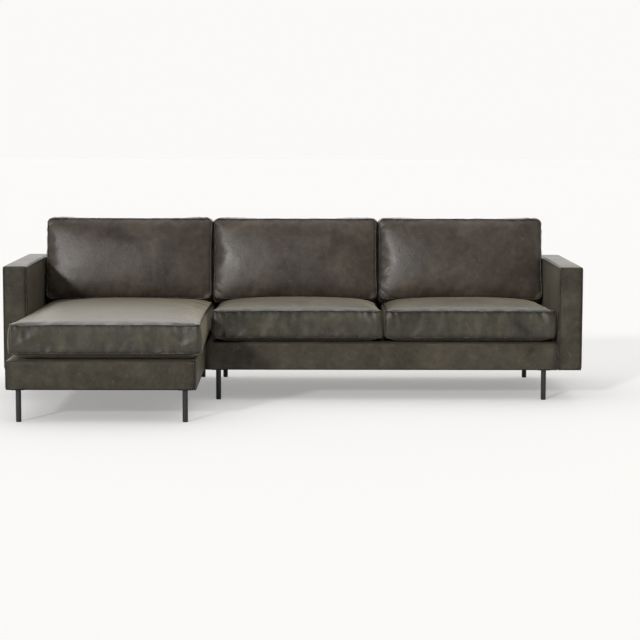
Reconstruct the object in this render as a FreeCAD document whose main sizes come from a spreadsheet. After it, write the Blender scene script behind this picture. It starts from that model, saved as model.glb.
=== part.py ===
import FreeCAD, Part

import math
import os
import re

import Sketcher
from FreeCAD import Placement, Rotation, Vector

# Corner sofa: a chaise section with the left arm and a two seat section with the
# right arm, each a timber base on steel legs with a low padded back, and six loose
# cushions. The front faces -Y, up is +Z and the origin lies on the floor, under the
# middle of the whole sofa.

# Driving sizes in millimetres, and angles in degrees.
SIZES = {
    # The whole sofa
    "module_width": 862,
    "arm_thickness": 118,
    "frame_depth": 887,
    "chaise_reach": 706,
    "arm_height": 654,
    "base_bottom": 150,
    "base_top": 283,
    "back_thickness": 100,
    "section_gap": 2,
    "unit_gap": 0.5,
    # Leather, padding and lining
    "leather_thickness": 1.5,
    "base_padding": 6,
    "unit_padding": 8,
    "edge_radius": 9,
    "deck_pad": 12,
    "deck_border": 60,
    "front_border": 110,
    "lining_thickness": 1,
    # Timber
    "rail_thickness": 22,
    "stretcher_drop": 30,
    "panel_thickness": 4,
    "post_width": 40,
    "frame_rail_height": 32,
    "block_length": 100,
    "block_width": 90,
    "block_height": 27,
    # Webbing
    "band_width": 70,
    "band_thickness": 2,
    "main_band_space": 56,
    "cross_band_space": 190,
    "weave_gap": 0.3,
    "staple_margin": 4,
    # Legs
    "leg_diameter": 25,
    "leg_inset_front": 37,
    "chaise_leg_inset": 53,
    "two_seat_leg_inset": 64,
    "glide_height": 4,
    "glide_step": 1,
    "plate_side": 60,
    "plate_thickness": 3,
    "plate_clearance": 1,
    # Connectors between the two sections
    "connector_height": 70,
    "connector_width": 44,
    "connector_plate": 3,
    "connector_inset": 150,
    "hook_depth": 5,
    "hook_width": 24,
    "hook_length": 30,
    "connector_slack": 0.4,
    "window_margin": 2,
    # Seat cushions
    "chaise_overhang": 26,
    "cushion_gap": 4,
    "cushion_side_gap": 10,
    "cushion_rear_gap": 3,
    "rest_gap": 0.3,
    "fill_gap": 0.4,
    "seat_belly": 25,
    "seat_belly_run": 90,
    "seat_boxing": 128,
    "chaise_boxing": 126,
    "chaise_lift": 8,
    "seat_crown": 22,
    "seat_cross_crown": 27,
    "seat_drop": 18,
    "cushion_corner": 28,
    "cushion_draw": 7,
    # Back cushions
    "back_lean": 14,
    "back_top": 857,
    "back_left_gap": 12,
    "back_right_gap": 7,
    "back_cushion_gap": 8,
    "chaise_back_ease": 5,
    "back_belly": 22,
    "back_belly_run": 70,
    "back_boxing": 140,
    "back_crown": 30,
    "back_cross_crown": 36,
    "back_corner": 38,
    "back_draw": 9,
    # How far a cut reaches past the faces it opens
    "cut_margin": 1,
}

# Planes and places that follow from the driving sizes.
PLACES = {
    "half_width": "1.5 * module_width + arm_thickness",
    "arm_inner": "half_width - arm_thickness",
    "split_x": "module_width - arm_inner",
    "rear_y": "(frame_depth + chaise_reach) / 2",
    "front_y": "rear_y - frame_depth",
    "chaise_front_y": "0 - rear_y",
    "backrest_y": "rear_y - back_thickness",
    "chaise_left": "unit_gap - arm_inner",
    "chaise_right": "split_x - section_gap / 2",
    "two_seat_left": "split_x + section_gap / 2",
    "two_seat_right": "arm_inner - unit_gap",
    "timber_bottom": "base_bottom + lining_thickness",
    "deck_underside": "base_top - leather_thickness",
    "webbing_top": "deck_underside - deck_pad",
    "rail_top": "webbing_top - 2 * band_thickness - weave_gap",
    "timber_inset": "leather_thickness + base_padding",
    "rail_inset": "timber_inset + rail_thickness",
    "panel_inset": "leather_thickness + unit_padding",
    "cushion_bottom": "base_top + rest_gap",
    "seat_rear_y": "backrest_y - cushion_rear_gap",
    "chaise_cushion_left": "cushion_side_gap - arm_inner",
    "chaise_cushion_right": "split_x + chaise_overhang",
    "seat_left": "chaise_cushion_right + cushion_gap",
    "seat_right": "arm_inner - cushion_side_gap",
    "seat_width": "(seat_right - seat_left - cushion_gap) / 2",
    "back_left": "back_left_gap - arm_inner",
    "back_right": "arm_inner - back_right_gap",
    "chaise_back_width": "module_width - chaise_back_ease",
    "second_back_left": "back_left + chaise_back_width + back_cushion_gap",
    "back_width": "(back_right - second_back_left - back_cushion_gap) / 2",
    "plate_bottom": "timber_bottom - plate_thickness",
    "plate_cutout": "plate_side + plate_clearance",
    "connector_span": "section_gap + 2 * timber_inset",
    "connector_bottom": "(timber_bottom + rail_top - connector_height) / 2",
}

# The planes that bound each section's base and back.
SECTIONS = {
    "chaise": ("chaise_left", "chaise_right", "chaise_front_y"),
    "two_seat": ("two_seat_left", "two_seat_right", "front_y"),
}

# Middles of the two connectors, from front to rear.
CONNECTOR_MIDDLES = {
    "front": "front_y + connector_inset",
    "rear": "rear_y - connector_inset",
}

# How far a cushion's slabs reach past what they meet, so that no two faces lie together.
SLAB_MARGIN = 2
SLAB_REACH = 10

# How much deeper a cushion's belly is from side to side than from front to rear.
CROSS_BELLY_EXTRA = 1

doc = FreeCAD.newDocument("CornerSofa")
nodes = []


def fill_sheet(label, rows):
    """Make a sheet with one named cell per row."""
    sheet = doc.addObject("Spreadsheet::Sheet", label)
    for row, (name, content) in enumerate(rows.items(), start=1):
        sheet.set(f"A{row}", name)
        sheet.set(f"B{row}", content)
        sheet.setAlias(f"B{row}", name)
    doc.recompute()
    return sheet


def point_to_sheets(formula, own_places=False):
    """Put the sheet's name before each size or place that a formula uses."""
    def full_name(match):
        word = match.group(0)
        if word in SIZES:
            return "Sizes." + word
        if word in PLACES and not own_places:
            return "Places." + word
        return word
    return re.sub(r"[a-z_]+", full_name, formula)


sizes_sheet = fill_sheet("Sizes", {name: str(value) for name, value in SIZES.items()})
places_sheet = fill_sheet("Places", {
    name: "=" + point_to_sheets(formula, own_places=True) for name, formula in PLACES.items()
})


def size(name):
    """Read a driving size or a place in millimetres."""
    sheet = sizes_sheet if name in SIZES else places_sheet
    return float(sheet.get(name))


def bind(part, prop, formula):
    """Tie one property to a formula of sizes and places."""
    part.setExpression(prop, point_to_sheets(formula))


def keep_node(part, name):
    """Name a finished sub-part and list it for writing."""
    part.Label = name
    nodes.append(part)
    return part


# Simple shapes

def set_span(part, spans):
    """Tie a box's sides to its low and high planes along x, y and z."""
    for prop, axis in (("Length", "x"), ("Width", "y"), ("Height", "z")):
        low, high = spans[axis]
        bind(part, prop, f"({high}) - ({low})")
        bind(part, "Placement.Base." + axis, low)


def board(name, x, y, z):
    """A straight board between low and high planes."""
    box = doc.addObject("Part::Box", name)
    set_span(box, {"x": x, "y": y, "z": z})
    return box


def cut_from(name, base, tools):
    """Take the tools away from a base."""
    group = doc.addObject("Part::Compound", name + "_tools")
    group.Links = tools
    result = doc.addObject("Part::Cut", name)
    result.Base = base
    result.Tool = group
    return result


def group_of(name, members):
    """Several like pieces that share one node."""
    group = doc.addObject("Part::Compound", name)
    group.Links = members
    return keep_node(group, name)


def sketched_body(name, outline):
    """A body with one outline of formulas across and up its front plane."""
    body = doc.addObject("PartDesign::Body", name)
    sketch = body.newObject("Sketcher::SketchObject", name + "_outline")
    planes = {plane.Role: plane for plane in body.Origin.OriginFeatures}
    sketch.AttachmentSupport = (planes["XZ_Plane"], [""])
    sketch.MapMode = "FlatFace"
    draw_polygon(sketch, outline)
    doc.recompute()
    return body, sketch


def turned(name, outline):
    """A body turned about its upright axis from an outline of radius and height."""
    body, sketch = sketched_body(name, outline)
    turn = body.newObject("PartDesign::Revolution", name + "_turn")
    turn.Profile = sketch
    turn.ReferenceAxis = (sketch, ["V_Axis"])
    turn.Angle = 360
    doc.recompute()
    return body


def extruded(name, outline, width):
    """A body of even width from front to rear, from its side outline."""
    body, sketch = sketched_body(name, outline)
    pad = body.newObject("PartDesign::Pad", name + "_pad")
    pad.Profile = sketch
    pad.Midplane = True
    bind(pad, "Length", width)
    doc.recompute()
    return body


def draw_polygon(sketch, corners):
    """Draw a closed outline whose corners stay at their formulas."""
    rough = [Vector(10 + 7 * index, 5 + index * index, 0) for index in range(len(corners))]
    for index, start in enumerate(rough):
        end = rough[(index + 1) % len(rough)]
        sketch.addGeometry(Part.LineSegment(start, end), False)
    for index in range(len(corners)):
        following = (index + 1) % len(corners)
        sketch.addConstraint(Sketcher.Constraint("Coincident", index, 2, following, 1))
    for index, (across, along) in enumerate(corners):
        for kind, axis, formula in (("DistanceX", -2, across), ("DistanceY", -1, along)):
            if formula == "0":
                sketch.addConstraint(Sketcher.Constraint("PointOnObject", index, 1, axis))
                continue
            number = sketch.addConstraint(Sketcher.Constraint(kind, -1, 1, index, 1, 10.0))
            bind(sketch, f"Constraints[{number}]", formula)


def soft_block(name, spans, kind, amount, along):
    """A body that is a box, with a Fillet or a Chamfer on its edges along one direction.

    The bottom edges stay sharp.
    """
    body = doc.addObject("PartDesign::Body", name)
    block = body.newObject("PartDesign::AdditiveBox", name + "_block")
    set_span(block, spans)
    doc.recompute()
    direction = {"x": Vector(1, 0, 0), "y": Vector(0, 1, 0), "z": Vector(0, 0, 1)}[along]
    middle = block.Shape.BoundBox.Center.z
    edges = [
        f"Edge{index}" for index, edge in enumerate(block.Shape.Edges, start=1)
        if edge.BoundBox.ZMax > middle and abs(edge.tangentAt(edge.FirstParameter).dot(direction)) > 0.9
    ]
    softened = body.newObject("PartDesign::" + kind, name + "_edges")
    softened.Base = (block, edges)
    bind(softened, {"Fillet": "Radius", "Chamfer": "Size"}[kind], amount)
    return body


def hollow_box(name, spans):
    """A box to take away."""
    return board(name, spans["x"], spans["y"], spans["z"])


def inset(spans, amount, open_below=None):
    """Move the planes of a box inwards, with its own bottom plane where one is given."""
    inner = {
        axis: (f"{low} + {amount}", f"{high} - ({amount})") for axis, (low, high) in spans.items()
    }
    if open_below:
        inner["z"] = (open_below, inner["z"][1])
    return inner


def leather_shell(name, spans, along, openings=()):
    """A leather cover of even thickness, rounded along one direction and open at the bottom."""
    outside = soft_block(name + "_outside", spans, "Fillet", "edge_radius", along)
    space = inset(spans, "leather_thickness", open_below=f"{spans['z'][0]} - cut_margin")
    inside = soft_block(name + "_inside", space, "Fillet", "edge_radius - leather_thickness", along)
    return keep_node(cut_from(name, outside, [inside, *openings]), name)


def padding_shell(name, outer, inner, along, openings=()):
    """Foam padding between a cover and the boards under it, bevelled where the leather turns."""
    outside = soft_block(name + "_outside", outer, "Chamfer", "edge_radius", along)
    return keep_node(cut_from(name, outside, [hollow_box(name + "_space", inner), *openings]), name)


# Bases

def base_frame(section):
    """Timber rails, stretchers and leg blocks of one section."""
    left, right, front = SECTIONS[section]
    height = ("timber_bottom", "rail_top")
    group_of(section + "_side_rails", [
        board(f"{section}_left_rail", (f"{left} + timber_inset", f"{left} + rail_inset"),
              (f"{front} + timber_inset", "rear_y - timber_inset"), height),
        board(f"{section}_right_rail", (f"{right} - rail_inset", f"{right} - timber_inset"),
              (f"{front} + timber_inset", "rear_y - timber_inset"), height),
    ])
    between = (f"{left} + rail_inset", f"{right} - rail_inset")
    group_of(section + "_end_rails", [
        board(f"{section}_front_rail", between,
              (f"{front} + timber_inset", f"{front} + rail_inset"), height),
        board(f"{section}_rear_rail", between,
              ("rear_y - rail_inset", "rear_y - timber_inset"), height),
    ])
    low_height = ("timber_bottom", "rail_top - stretcher_drop")
    stretchers = []
    for index in (1, 2):
        if section == "chaise":
            middle = f"{front} + (rear_y - {front}) * {index} / 3"
            spans = (between, (f"{middle} - rail_thickness / 2", f"{middle} + rail_thickness / 2"))
        else:
            middle = f"{left} + ({right} - {left}) * {index} / 3"
            spans = ((f"{middle} - rail_thickness / 2", f"{middle} + rail_thickness / 2"),
                     (f"{front} + rail_inset", "rear_y - rail_inset"))
        stretchers.append(board(f"{section}_stretcher_{index}", *spans, low_height))
    group_of(section + "_stretchers", stretchers)
    blocks = []
    for corner in leg_places(section):
        across = (f"{left} + rail_inset", f"{left} + rail_inset + block_length")
        if "right" in corner:
            across = (f"{right} - rail_inset - block_length", f"{right} - rail_inset")
        along = (f"{front} + rail_inset", f"{front} + rail_inset + block_width")
        if "rear" in corner:
            along = ("rear_y - rail_inset - block_width", "rear_y - rail_inset")
        blocks.append(board(f"{section}_{corner}_block", across, along,
                            ("timber_bottom", "timber_bottom + block_height")))
    group_of(section + "_leg_blocks", blocks)


def base_cover(section):
    """Padding, leather, deck lining and underside lining of one section's base."""
    left, right, front = SECTIONS[section]
    outer = {"x": (left, right), "y": (front, "rear_y"), "z": ("base_bottom", "base_top")}
    under_leather = inset(outer, "leather_thickness", open_below="timber_bottom")
    around_timber = inset(outer, "timber_inset", open_below="timber_bottom - cut_margin")
    around_timber["z"] = (around_timber["z"][0], "base_top + cut_margin")
    windows = connector_windows(section)
    padding_shell(section + "_base_padding", under_leather, around_timber, "z", windows)
    opening = {
        "x": (f"{left} + deck_border", f"{right} - deck_border"),
        "y": (f"{front} + front_border", "rear_y - deck_border"),
        "z": ("deck_underside - cut_margin", "base_top + cut_margin"),
    }
    deck_opening = hollow_box(section + "_deck_opening", opening)
    leather_shell(section + "_base_cover", outer, "z", [deck_opening, *windows])
    keep_node(board(section + "_deck_lining", opening["x"], opening["y"],
                    ("deck_underside", "deck_underside + lining_thickness")),
              section + "_deck_lining")
    keep_node(board(section + "_deck_pad", (f"{left} + timber_inset", f"{right} - timber_inset"),
                    (f"{front} + timber_inset", "rear_y - timber_inset"),
                    ("webbing_top", "deck_underside")), section + "_deck_pad")
    flat = inset(outer, "leather_thickness")
    flat["z"] = ("base_bottom", "timber_bottom")
    lining = soft_block(section + "_underside", flat, "Fillet", "edge_radius", "z")
    cutouts = []
    for corner, (x, y) in leg_places(section).items():
        cutouts.append(board(
            f"{section}_{corner}_cutout", (f"{x} - plate_cutout / 2", f"{x} + plate_cutout / 2"),
            (f"{y} - plate_cutout / 2", f"{y} + plate_cutout / 2"),
            ("base_bottom - cut_margin", "timber_bottom + cut_margin")))
    keep_node(cut_from(section + "_underside_lining", lining, cutouts), section + "_underside_lining")


# Webbing

def band_outline(ends, crossings, levels):
    """Side view of one woven band: flat over or under each crossing, sloping between them."""
    low = size("rail_top")
    rise = size("band_thickness") + size("weave_gap")
    flat = size("band_width") / 2 + size("staple_margin")
    underside = [Vector(ends[0], 0, low)]
    for place, level in zip(crossings, levels):
        height = low + rise * level
        underside += [Vector(place - flat, 0, height), Vector(place + flat, 0, height)]
    underside.append(Vector(ends[1], 0, low))
    lift = Vector(0, 0, size("band_thickness"))
    upperside = [point + lift for point in reversed(underside)]
    return Part.Face(Part.makePolygon(underside + upperside + underside[:1]))


def band_middles(low, high, space):
    """Middles of the bands that fit between two rails, evenly spread."""
    pitch = size("band_width") + space
    count = max(1, int((high - low - size("band_width")) / pitch) + 1)
    first = (low + high - pitch * (count - 1)) / 2
    return [first + pitch * index for index in range(count)]


def webbing(section):
    """Elastic bands woven over and under each other and fixed to the tops of the rails."""
    left, right, front = (size(name) for name in SECTIONS[section])
    rear = size("rear_y")
    inner, overlap = size("rail_inset"), size("rail_thickness") - size("staple_margin")
    across_ends = (left + inner - overlap, right - inner + overlap)
    along_ends = (front + inner - overlap, rear - inner + overlap)
    spaces = [size("main_band_space"), size("cross_band_space")]
    if section == "two_seat":
        spaces.reverse()
    rows = band_middles(front + inner, rear - inner, spaces[0])
    columns = band_middles(left + inner, right - inner, spaces[1])
    half = size("band_width") / 2
    across_bands = []
    for row, y in enumerate(rows):
        levels = [(row + column) % 2 for column in range(len(columns))]
        band = band_outline(across_ends, columns, levels).extrude(Vector(0, 2 * half, 0))
        band.translate(Vector(0, y - half, 0))
        across_bands.append(band)
    along_bands = []
    for column, x in enumerate(columns):
        levels = [(row + column + 1) % 2 for row in range(len(rows))]
        band = band_outline(along_ends, rows, levels).extrude(Vector(0, 2 * half, 0))
        band.rotate(Vector(), Vector(0, 0, 1), 90)
        band.translate(Vector(x + half, 0, 0))
        along_bands.append(band)
    for name, bands in (("cross_webbing", across_bands), ("long_webbing", along_bands)):
        node = doc.addObject("Part::Feature", f"{section}_{name}")
        node.Shape = Part.makeCompound(bands)
        keep_node(node, f"{section}_{name}")


# Arms and backs

def padded_unit(name, spans, thin, bottom):
    """A padded upright unit: timber frame, two panels, padding and leather cover."""
    long = "y" if thin == "x" else "x"
    leather_shell(name + "_cover", spans, long)
    under_leather = inset(spans, "leather_thickness", open_below=bottom)
    around_panels = inset(spans, "panel_inset", open_below=f"{bottom} - cut_margin")
    padding_shell(name + "_padding", under_leather, around_panels, long)
    core = inset(spans, "panel_inset", open_below=bottom)
    low, high = core[thin]
    panels = []
    for side, faces in (("first", (low, f"{low} + panel_thickness")),
                        ("second", (f"{high} - panel_thickness", high))):
        panel = dict(core)
        panel[thin] = faces
        panels.append(board(f"{name}_{side}_panel", panel["x"], panel["y"], panel["z"]))
    group_of(name + "_panels", panels)
    inside = dict(core)
    inside[thin] = (f"{low} + panel_thickness", f"{high} - panel_thickness")
    start, end = core[long]
    lowest, highest = core["z"]
    timbers = []
    for level, heights in (("bottom", (lowest, f"{lowest} + frame_rail_height")),
                           ("top", (f"{highest} - frame_rail_height", highest))):
        rail = dict(inside)
        rail["z"] = heights
        timbers.append(board(f"{name}_{level}_rail", rail["x"], rail["y"], rail["z"]))
    middle = f"(({start}) + ({end})) / 2"
    for place, faces in (("first", (start, f"{start} + post_width")),
                         ("middle", (f"{middle} - post_width / 2", f"{middle} + post_width / 2")),
                         ("last", (f"{end} - post_width", end))):
        post = dict(inside)
        post[long] = faces
        post["z"] = (f"{lowest} + frame_rail_height", f"{highest} - frame_rail_height")
        timbers.append(board(f"{name}_{place}_post", post["x"], post["y"], post["z"]))
    group_of(name + "_frame", timbers)


def arms_and_backs():
    """Two arms down to the base's underside, lined below, and a back on each section's base."""
    for name, across in (("left_arm", ("0 - half_width", "0 - arm_inner")),
                         ("right_arm", ("arm_inner", "half_width"))):
        spans = {"x": across, "y": ("front_y", "rear_y"), "z": ("base_bottom", "arm_height")}
        padded_unit(name, spans, "x", "timber_bottom")
        edge = inset(spans, "leather_thickness")
        keep_node(board(name + "_lining", edge["x"], edge["y"], ("base_bottom", "timber_bottom")),
                  name + "_lining")
    for section, (left, right, _) in SECTIONS.items():
        spans = {"x": (left, right), "y": ("backrest_y", "rear_y"), "z": ("base_top", "arm_height")}
        padded_unit(section + "_back", spans, "y", "base_top")


# Legs

def leg_places(section):
    """Leg axes of one section, by corner."""
    left, right, front = SECTIONS[section]
    side = section + "_leg_inset"
    return {
        "front_left": (f"{left} + {side}", f"{front} + leg_inset_front"),
        "front_right": (f"{right} - {side}", f"{front} + leg_inset_front"),
        "rear_left": (f"{left} + {side}", "rear_y - leg_inset_front"),
        "rear_right": (f"{right} - {side}", "rear_y - leg_inset_front"),
    }


def copies_at_legs(name, pattern):
    """One copy of a piece at every leg, in one node."""
    copies = []
    for section in SECTIONS:
        for corner, (x, y) in leg_places(section).items():
            copy = doc.addObject("App::Link", f"{name}_{section}_{corner}")
            copy.LinkedObject = pattern
            copy.LinkTransform = True
            bind(copy, "Placement.Base.x", x)
            bind(copy, "Placement.Base.y", y)
            copies.append(copy)
    group_of(name, copies)


def legs():
    """Closed steel tube legs, each with a square plate under the frame and a glide below."""
    outer = "leg_diameter / 2"
    tube = turned("leg_tube_pattern", [
        ("0", "glide_height"), (outer, "glide_height"), (outer, "plate_bottom"),
        ("0", "plate_bottom"),
    ])
    copies_at_legs("leg_tubes", tube)
    rim = "leg_diameter / 2 - glide_step"
    glide = turned("leg_glide_pattern", [
        ("0", "0"), (rim, "0"), (rim, "glide_height"), ("0", "glide_height"),
    ])
    copies_at_legs("leg_glides", glide)
    plate = board("leg_plate_pattern", ("0 - plate_side / 2", "plate_side / 2"),
                  ("0 - plate_side / 2", "plate_side / 2"), ("plate_bottom", "timber_bottom"))
    copies_at_legs("leg_plates", plate)


# Connectors between the sections

def connector_windows(section):
    """Openings through one section's leather and padding where the connectors sit."""
    windows = []
    for place, middle in CONNECTOR_MIDDLES.items():
        windows.append(board(
            f"{section}_{place}_window", ("chaise_right - timber_inset", "two_seat_left + timber_inset"),
            (f"{middle} - connector_width / 2 - window_margin",
             f"{middle} + connector_width / 2 + window_margin"),
            ("connector_bottom - window_margin",
             "connector_bottom + connector_height + window_margin")))
    return windows


def copies_at_connectors(name, pattern):
    """One copy of a piece at each connector, in one node."""
    copies = []
    for place, middle in CONNECTOR_MIDDLES.items():
        copy = doc.addObject("App::Link", f"{name}_{place}")
        copy.LinkedObject = pattern
        copy.LinkTransform = True
        bind(copy, "Placement.Base.x", "chaise_right - timber_inset")
        bind(copy, "Placement.Base.y", middle)
        bind(copy, "Placement.Base.z", "connector_bottom")
        copies.append(copy)
    group_of(name, copies)


def connectors():
    """Steel hooks on the chaise rail that drop into sockets on the two seat rail."""
    tongue_near = "connector_span - connector_plate - hook_depth + connector_slack"
    tongue_far = "connector_span - connector_plate - connector_slack"
    under_bridge = "connector_height - connector_plate"
    hook = extruded("connector_hook_pattern", [
        ("0", "0"), ("connector_plate", "0"), ("connector_plate", under_bridge),
        (tongue_near, under_bridge), (tongue_near, f"{under_bridge} - hook_length"),
        (tongue_far, f"{under_bridge} - hook_length"), (tongue_far, "connector_height"),
        ("0", "connector_height"),
    ], "hook_width")
    copies_at_connectors("connector_hooks", hook)
    socket_top = f"{under_bridge} - connector_slack"
    block = board("connector_socket_block",
                  ("connector_span - 2 * connector_plate - hook_depth", "connector_span"),
                  ("0 - connector_width / 2", "connector_width / 2"), ("0", socket_top))
    slot = board("connector_slot",
                 ("connector_span - connector_plate - hook_depth", "connector_span - connector_plate"),
                 ("0 - hook_width / 2 - connector_slack", "hook_width / 2 + connector_slack"),
                 (f"{under_bridge} - hook_length - connector_slack", f"{socket_top} + cut_margin"))
    copies_at_connectors("connector_sockets", cut_from("connector_socket_pattern", block, [slot]))


# Cushions

def arc_edge(start, middle, end):
    """An arc through three points, or a line where they are in line."""
    if (middle - start).cross(end - start).Length < 1e-6:
        return Part.LineSegment(start, end).toShape()
    return Part.Arc(start, middle, end).toShape()


def plan_outline(low, high, corner, draws):
    """A rectangle with round corners, whose sides draw in between them by their own amounts."""
    middle = (low + high) / 2
    short = corner * (1 - math.sqrt(0.5))
    draw_low_y, draw_high_x, draw_high_y, draw_low_x = draws
    sides = [
        (Vector(low.x + corner, low.y), Vector(middle.x, low.y + draw_low_y),
         Vector(high.x - corner, low.y)),
        (Vector(high.x, low.y + corner), Vector(high.x - draw_high_x, middle.y),
         Vector(high.x, high.y - corner)),
        (Vector(high.x - corner, high.y), Vector(middle.x, high.y - draw_high_y),
         Vector(low.x + corner, high.y)),
        (Vector(low.x, high.y - corner), Vector(low.x + draw_low_x, middle.y),
         Vector(low.x, low.y + corner)),
    ]
    corners = [
        Vector(high.x - short, low.y + short), Vector(high.x - short, high.y - short),
        Vector(low.x + short, high.y - short), Vector(low.x + short, low.y + short),
    ]
    edges = []
    for index, side in enumerate(sides):
        edges.append(arc_edge(*side))
        edges.append(arc_edge(side[2], corners[index], sides[(index + 1) % 4][0]))
    return Part.Face(Part.Wire(edges))


def under_crown(start, end, crown, floor, across):
    """All that lies under a crowned line, as a slab across it."""
    peak = (start + end) / 2 + Vector(0, 0, crown)
    low_start, low_end = Vector(start.x, start.y, floor), Vector(end.x, end.y, floor)
    edges = [
        Part.LineSegment(low_start, start).toShape(), arc_edge(start, peak, end),
        Part.LineSegment(end, low_end).toShape(), Part.LineSegment(low_end, low_start).toShape(),
    ]
    return Part.Face(Part.Wire(edges)).extrude(across)


def above_belly(start, end, belly, run, ceiling, across):
    """All that lies above a belly that is flat in the middle and rises to the seam at its ends."""
    toward = (end - start).normalize()
    drop = Vector(0, 0, -belly)
    flat_start, flat_end = start + toward * run + drop, end - toward * run + drop
    half_turn = math.atan2(belly, run)
    radius = (run * run + belly * belly) / (2 * belly)
    back = toward * (radius * math.sin(half_turn))
    lift = Vector(0, 0, radius * (1 - math.cos(half_turn)))
    high_start, high_end = Vector(start.x, start.y, ceiling), Vector(end.x, end.y, ceiling)
    edges = [
        arc_edge(start, flat_start - back + lift, flat_start),
        Part.LineSegment(flat_start, flat_end).toShape(),
        arc_edge(flat_end, flat_end + back + lift, end),
        Part.LineSegment(end, high_end).toShape(),
        Part.LineSegment(high_end, high_start).toShape(),
        Part.LineSegment(high_start, start).toShape(),
    ]
    return Part.Face(Part.Wire(edges)).extrude(across)


def cushion_form(low, high, seams, crowns, belly, run, drop, corner, draws, skin, drawn_in):
    """A boxed cushion's closed form, moved inwards by skin on every side.

    The lower seam lies flat at seams[0] and the upper one runs from seams[1] at the front
    down by drop to the rear. The form is what its plan, its crowns from front to rear and
    from side to side, and its two bellies share. Without drawn_in the sides are straight and
    lie where they would be drawn in furthest.
    """
    crown, cross_crown = crowns
    low = low + Vector(skin, skin, 0)
    high = high - Vector(skin, skin, 0)
    if not drawn_in:
        low = low + Vector(draws[3], draws[0], 0)
        high = high - Vector(draws[1], draws[2], 0)
        draws = (0, 0, 0, 0)
    corner = max(corner - skin, 1)
    lower, upper = seams[0] + skin, seams[1] - skin
    deep, tall = lower - belly - SLAB_REACH, upper + cross_crown + SLAB_REACH
    floor, ceiling = deep - SLAB_MARGIN, tall + SLAB_MARGIN
    plan = plan_outline(low, high, corner, draws).extrude(Vector(0, 0, tall - deep))
    plan.translate(Vector(0, 0, deep))
    low, high = low - Vector(SLAB_MARGIN, SLAB_MARGIN), high + Vector(SLAB_MARGIN, SLAB_MARGIN)
    width, depth = Vector(high.x - low.x, 0, 0), Vector(0, high.y - low.y, 0)
    front_left = Vector(low.x, low.y, upper)
    rear_left = front_left + depth - Vector(0, 0, drop)
    side_crown = under_crown(front_left, rear_left, crown, floor, width)
    front_crown = under_crown(front_left, front_left + width, cross_crown, floor - drop, depth)
    front_crown.rotate(front_left, Vector(1, 0, 0), -math.degrees(math.atan2(drop, depth.Length)))
    front_left, rear_left = Vector(low.x, low.y, lower), Vector(low.x, high.y, lower)
    side_belly = above_belly(front_left, rear_left, belly, run, ceiling, width)
    front_belly = above_belly(front_left, front_left + width, belly + CROSS_BELLY_EXTRA, run,
                              ceiling, depth)
    form = plan
    for slab in (side_crown, front_crown, side_belly, front_belly):
        form = form.common(slab)
    return form.Solids[0]


def all_above(bounds, height):
    """A block that holds all of a form's bounds above a height."""
    margin = SLAB_MARGIN
    return Part.makeBox(bounds.XLength + 2 * margin, bounds.YLength + 2 * margin,
                        bounds.ZMax + margin - height,
                        Vector(bounds.XMin - margin, bounds.YMin - margin, height))


def place_cushion(name, make_form, placement, floor=None):
    """Cut a cushion's cover and fill from its form, flat where it rests, and put them in place."""
    skin, gap = size("leather_thickness"), size("fill_gap")
    forms = []
    for depth, drawn_in in ((0, True), (skin, True), (skin + gap, False)):
        form = make_form(depth, drawn_in)
        form.Placement = placement
        if floor is not None:
            form = form.common(all_above(form.BoundBox, floor + depth)).Solids[0]
        forms.append(form)
    outside, inside, fill = forms
    for suffix, shape in (("cover", outside.cut(inside).Solids[0]), ("fill", fill)):
        node = doc.addObject("Part::Feature", f"{name}_{suffix}")
        node.Shape = shape
        keep_node(node, f"{name}_{suffix}")


def seat_cushions():
    """Three boxed seat cushions: a long one on the chaise and two side by side."""
    second = size("seat_left") + size("seat_width") + size("cushion_gap")
    places = {
        "chaise_seat": (size("chaise_cushion_left"), size("chaise_cushion_right"),
                        size("chaise_front_y"), size("chaise_boxing"), size("chaise_lift")),
        "left_seat": (size("seat_left"), size("seat_left") + size("seat_width"),
                      size("front_y"), size("seat_boxing"), 0),
        "right_seat": (second, second + size("seat_width"), size("front_y"), size("seat_boxing"), 0),
    }
    for name, (left, right, front, boxing, lift) in places.items():
        corners = (Vector(left, front), Vector(right, size("seat_rear_y")))
        lower = size("cushion_bottom") + size("seat_belly") + lift

        def make_form(skin, drawn_in):
            draw = size("cushion_draw")
            return cushion_form(
                *corners, (lower, lower + boxing), (size("seat_crown"), size("seat_cross_crown")),
                size("seat_belly") + lift, size("seat_belly_run"), size("seat_drop"),
                size("cushion_corner"), (draw, draw, draw, draw), skin, drawn_in,
            )

        place_cushion(name, make_form, Placement())


def seat_height_at(y):
    """Height of the seat cushions' crown, halfway across, at a place from front to rear."""
    front, rear = size("front_y"), size("seat_rear_y")
    upper = size("cushion_bottom") + size("seat_belly") + size("seat_boxing")
    start, end = Vector(front, upper), Vector(rear, upper - size("seat_drop"))
    peak = (start + end) / 2 + Vector(0, size("seat_crown"))
    crown = Part.Arc(start, peak, end)
    upright = Part.LineSegment(Vector(y, 0), Vector(y, 2 * upper))
    return crown.intersect(upright)[0].Y


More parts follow.
